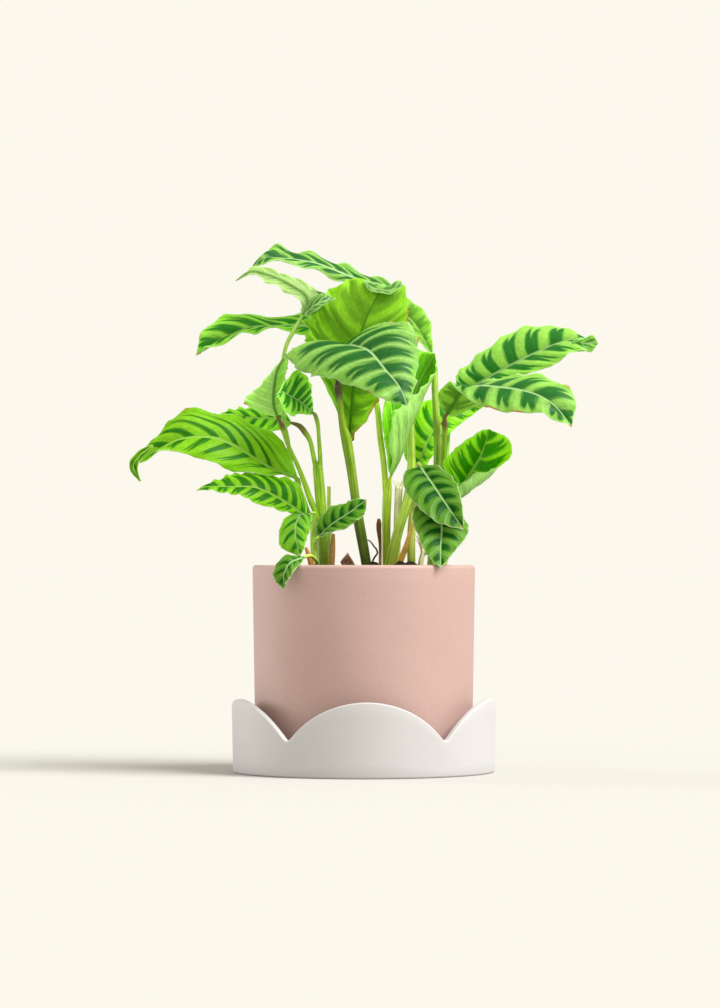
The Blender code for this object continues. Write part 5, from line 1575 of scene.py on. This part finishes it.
# %% [markdown]
# ## Soil
#
# Potting mix is dark, damp and crumbly. Its body is a spun solid that fills the pot. Its top is the solid's
# own gentle mound, broken up by noise.

# %% The soil's body
SOIL_MOUND = 5.0
SOIL_LUMPS = 0.9
SOIL_CRUMBLE = 1.4
SOIL_RINGS = 48
SOIL_STILL_EDGE = 3
SOIL_FLOOR = POT_INSIDE_FLOOR + CONTACT_GAP
SOIL_REACH = pot_radius(SOIL_EDGE_HEIGHT) - POT_WALL - CONTACT_GAP
SOIL_FOOT_REACH = pot_radius(SOIL_FLOOR) - POT_WALL - CONTACT_GAP


def soil_height(x, y):
    """The soil's surface: highest at the clump, with small even lumps."""
    share = min(math.hypot(x, y) / (POT_RIM_RADIUS - POT_WALL), 1.0)
    lumps = math.sin(x * 0.31 + 1.7 * math.sin(y * 0.13)) * math.cos(y * 0.27 + 0.9)
    return SOIL_EDGE_HEIGHT + SOIL_MOUND * (1 - share ** 2) + SOIL_LUMPS * lumps * (1 - share ** 6)


def crumble(x, y):
    """Fine unevenness of the soil, in mm."""
    coarse = noise.noise(Vector((x * 0.22, y * 0.22, 3.0)))
    fine = noise.noise(Vector((x * 0.7, y * 0.7, 9.0)))
    return SOIL_CRUMBLE * (0.6 * coarse + 0.5 * fine)


soil_rings = [SOIL_REACH * k / SOIL_RINGS for k in range(SOIL_RINGS, 0, -1)]
soil_profile = [
    (0.0, SOIL_FLOOR), (INSIDE_RING, SOIL_FLOOR), (SOIL_FOOT_REACH - FLOOR_EASE, SOIL_FLOOR),
    (SOIL_FOOT_REACH, SOIL_FLOOR + FLOOR_EASE),
    *((ring, SOIL_EDGE_HEIGHT) for ring in soil_rings), (0.0, SOIL_EDGE_HEIGHT),
]
soil_bm = spun(soil_profile, closed=False)
for vert in soil_bm.verts:
    x, y, z = vert.co / MM
    if z > SOIL_EDGE_HEIGHT - 1:
        inside = ease(SOIL_REACH, SOIL_REACH - SOIL_STILL_EDGE, math.hypot(x, y))
        vert.co.z = (soil_height(x, y) + crumble(x, y) * inside) * MM

# %% [markdown]
# Soil looks dark because light gets lost between its grains. The finish mixes two browns by noise at the
# size of the grains, is fully rough, and has strong bump at the same size.

# %% Soil and bark finishes
def earthy(name, tones, grain_size, roughness, relief_depth):
    """A dull granular finish of two tones, with relief of the grains' size in metres."""
    made, tree, output = new_material(name)
    place = add(tree, "TexCoord").outputs["Object"]
    grains = add(tree, "TexNoise", {"Vector": place, "Scale": 1 / grain_size, "Detail": 5.0,
                                    "Roughness": 0.7})
    share = add(tree, "MapRange", {0: grains, 1: 0.35, 2: 0.65})
    tone = add(tree, "Mix", {0: share, 6: tones[0], 7: tones[1]}, data_type="RGBA").outputs[2]
    relief = add(tree, "Bump", {"Strength": 1.0, "Distance": relief_depth, "Height": grains})
    skin = add(tree, "BsdfPrincipled", {"Base Color": tone, "Roughness": roughness, "Normal": relief})
    tree.links.new(skin.outputs[0], output.inputs["Surface"])
    return made


damp_soil = earthy("damp_potting_mix", ("#1d1510", "#4a3627"), 2.2 * MM, 0.95, 0.8 * MM)
raw_bark = earthy("raw_pine_bark", ("#4a3122", "#9a6f4c"), 3.0 * MM, 0.85, 0.6 * MM)

piece("soil_bed", soil_bm, [damp_soil], "soil", "soil")

# %% [markdown]
# Loose crumbs lie on the soil: small balls of a few faces, squashed and dented, scattered with a seeded draw
# so that every run gives the same ones. They also gather round the foot of each stalk, where it pushed up.

# %% Crumbs and clods
CRUMBS = 520
CRUMB_SIZES = (0.7, 2.4)
FINE_CRUMB_FROM = 2.1
CRUMBS_ROUND_A_FOOT = 9
FOOT_CRUMB_SIZES = (0.9, 2.1)
CRUMB_REACH = 0.97
CRUMB_SQUASH = 0.75
CRUMB_DENT = 0.28
# Each clod: its centre and its radius in mm
SOIL_CLODS = [((7, -16, 163.5), 6.0), ((29, -19, 163.0), 6.5), ((37, -15, 163.0), 6.0)]
CLOD_SQUASH = 0.72
CLOD_DETAIL = 4
random.seed(11)


def somewhere(reach):
    """A drawn place on the soil, no further out than a share of its reach."""
    away, turn = SOIL_REACH * reach * math.sqrt(random.random()), random.uniform(0, math.tau)
    return away * math.cos(turn), away * math.sin(turn)


def crumb(bm, centre, radius, squash, detail):
    """One lump: a ball of few faces, squashed, turned and dented by noise."""
    turn = Matrix.Rotation(random.uniform(0, math.tau), 4, "Z") @ Matrix.Rotation(
        random.uniform(-0.6, 0.6), 4, "X")
    grow = Matrix.Diagonal((radius * MM, radius * MM * random.uniform(0.7, 1.0), radius * MM * squash, 1.0))
    made = bmesh.ops.create_icosphere(bm, subdivisions=detail, radius=1.0)["verts"]
    for vert in made:
        vert.co = vert.co * (1 + CRUMB_DENT * noise.noise(vert.co * 1.7 + Vector(centre)))
    bmesh.ops.transform(bm, matrix=Matrix.Translation(Vector(centre) * MM) @ turn @ grow, verts=made)


def foot_of(branch):
    """Where a branch leaves the soil, as (x, y, radius) in mm, or None where it grows out of another one."""
    points = [point for point in branch if not isinstance(point, str)]
    for (x0, y0, z0, r0), (x1, y1, z1, r1) in zip(points, points[1:]):
        top = soil_height(x0, y0)
        if z0 < top < z1:
            share = (top - z0) / (z1 - z0)
            return x0 + (x1 - x0) * share, y0 + (y1 - y0) * share, r0 + (r1 - r0) * share
    return None


crumbs = bmesh.new()
for _ in range(CRUMBS):
    x, y = somewhere(CRUMB_REACH)
    size = random.uniform(*CRUMB_SIZES)
    spot = (x, y, soil_height(x, y) + size * 0.3)
    crumb(crumbs, spot, size, CRUMB_SQUASH, 2 if size > FINE_CRUMB_FROM else 1)
feet = [foot_of(branch) for branches in STEMS.values() for branch in branches]
for x, y, radius in filter(None, feet):
    for _ in range(CRUMBS_ROUND_A_FOOT):
        size, turn = random.uniform(*FOOT_CRUMB_SIZES), random.uniform(0, math.tau)
        away = radius + size * 0.5
        spot = (x + away * math.cos(turn), y + away * math.sin(turn))
        crumb(crumbs, (*spot, soil_height(*spot) + size * 0.35), size, CRUMB_SQUASH, 1)
print(len(feet), "branches,", feet.count(None), "of them forks")
for centre, radius in SOIL_CLODS:
    crumb(crumbs, centre, radius, CLOD_SQUASH, CLOD_DETAIL)
piece("soil_crumbs", crumbs, [damp_soil], "soil")

# %% [markdown]
# Chips of pine bark keep the mix airy. One large chip stands up between the stalks, and small ones lie about.
# Each is a block: the large one is cut finer and roughened along its grain, the small ones stay plain.

# %% Bark
CHIP_CENTRE = (-11, -12, 163)
CHIP_SIZE = (9.5, 4.5, 19)
CHIP_TURNS = (12, -32, 8)
CHIP_SKEW = 0.15
CHIP_CUTS = 7
SMALL_CHIPS = 46
SMALL_CHIP_REACH = 0.93
SMALL_CHIP_LIFT = 0.8
# The least and the most of a small chip's length, width and thickness, in mm
SMALL_CHIP_SIZES = ((3, 7), (2, 4), (0.8, 1.6))
SMALL_CHIP_TILT = 25
SMALL_CHIP_SKEW = 0.2


def bark_block(bm, centre, size, turns, skew, cuts):
    """A chip of bark: a block cut finer and roughened along its grain."""
    made = bmesh.ops.create_cube(bm, size=1.0)["verts"]
    edges = list({edge for vert in made for edge in vert.link_edges})
    if cuts:
        bmesh.ops.subdivide_edges(bm, edges=edges, cuts=cuts, use_grid_fill=True)
        made = list(bm.verts)
    for vert in made:
        x, y, z = vert.co
        grain = noise.noise(Vector((x * 5, y * 5, z * 1.5)) + Vector(centre))
        shrink = 1 - 0.12 * abs(grain) - 0.10 * (abs(x) * abs(y) * 4)
        vert.co = Vector(((x + skew * y) * size[0] * shrink, y * size[1] * shrink,
                          (z + skew * x) * size[2])) * MM
    turn = Matrix.Identity(4)
    for axis, degrees in zip("XYZ", turns):
        turn = Matrix.Rotation(math.radians(degrees), 4, axis) @ turn
    bmesh.ops.transform(bm, matrix=Matrix.Translation(Vector(centre) * MM) @ turn, verts=made)


chip = bmesh.new()
bark_block(chip, CHIP_CENTRE, CHIP_SIZE, CHIP_TURNS, CHIP_SKEW, CHIP_CUTS)
piece("bark_chip_rough", chip, [raw_bark], "bark", "bark_chip")

litter = bmesh.new()
for _ in range(SMALL_CHIPS):
    x, y = somewhere(SMALL_CHIP_REACH)
    size = [random.uniform(*sizes) for sizes in SMALL_CHIP_SIZES]
    tilts = [random.uniform(-SMALL_CHIP_TILT, SMALL_CHIP_TILT) for _ in range(2)]
    turns = (*tilts, random.uniform(0, 360))
    bark_block(litter, (x, y, soil_height(x, y) + SMALL_CHIP_LIFT), size, turns, SMALL_CHIP_SKEW, 0)
piece("bark_litter", litter, [raw_bark], "bark")

# %% [markdown]
# ## Frayed ends
#
# Where an old stalk was torn off, its fibres stand up like a brush. Each fibre is a thin tube on a curve of
# its own, bent a little by a seeded draw.

# %% Fibres
# How far a fibre is sunk in its stub, how much it wanders, and its radius halfway up and at its end
FIBRE_ROOT = 3
FIBRE_WANDER = 0.8
FIBRE_TAPER = (0.9, 0.35)


def fibres(name, foot, height, spread, count, radius, tone_name):
    """A tuft of fibres that rise from foot, in mm, and lean apart by up to spread."""
    bm = new_stalk_mesh()
    for _ in range(count):
        lean = Vector((random.uniform(-1, 1), random.uniform(-0.7, 0.7), 0)) * spread
        rise = height * random.uniform(0.55, 1.0)
        start = Vector(foot) + Vector((lean.x, lean.y, 0)) * 0.35
        bend = Vector((random.uniform(-1, 1), random.uniform(-1, 1), 0)) * FIBRE_WANDER
        middle, end = (radius * share for share in FIBRE_TAPER)
        points = [Vector((*(start + Vector((0, 0, -FIBRE_ROOT))), radius)),
                  Vector((*(start + lean * 0.3 + Vector((0, 0, rise * 0.5)) + bend), middle)),
                  Vector((*(start + lean + Vector((0, 0, rise))), end))]
        sweep(bm, dense_path(points), stalk_tone(tone_name, None), 0.0)
    bmesh.ops.recalc_face_normals(bm, faces=bm.faces)
    piece(name, bm, [green_stalk], "stem")


fibres("torn_fibres_low", (48.5, -7, 176), 17, 7, 22, 0.42, "stub_fibres")
fibres("torn_fibres_tall", (28.2, 6, 226), 9, 4.5, 16, 0.3, "stub_frayed")
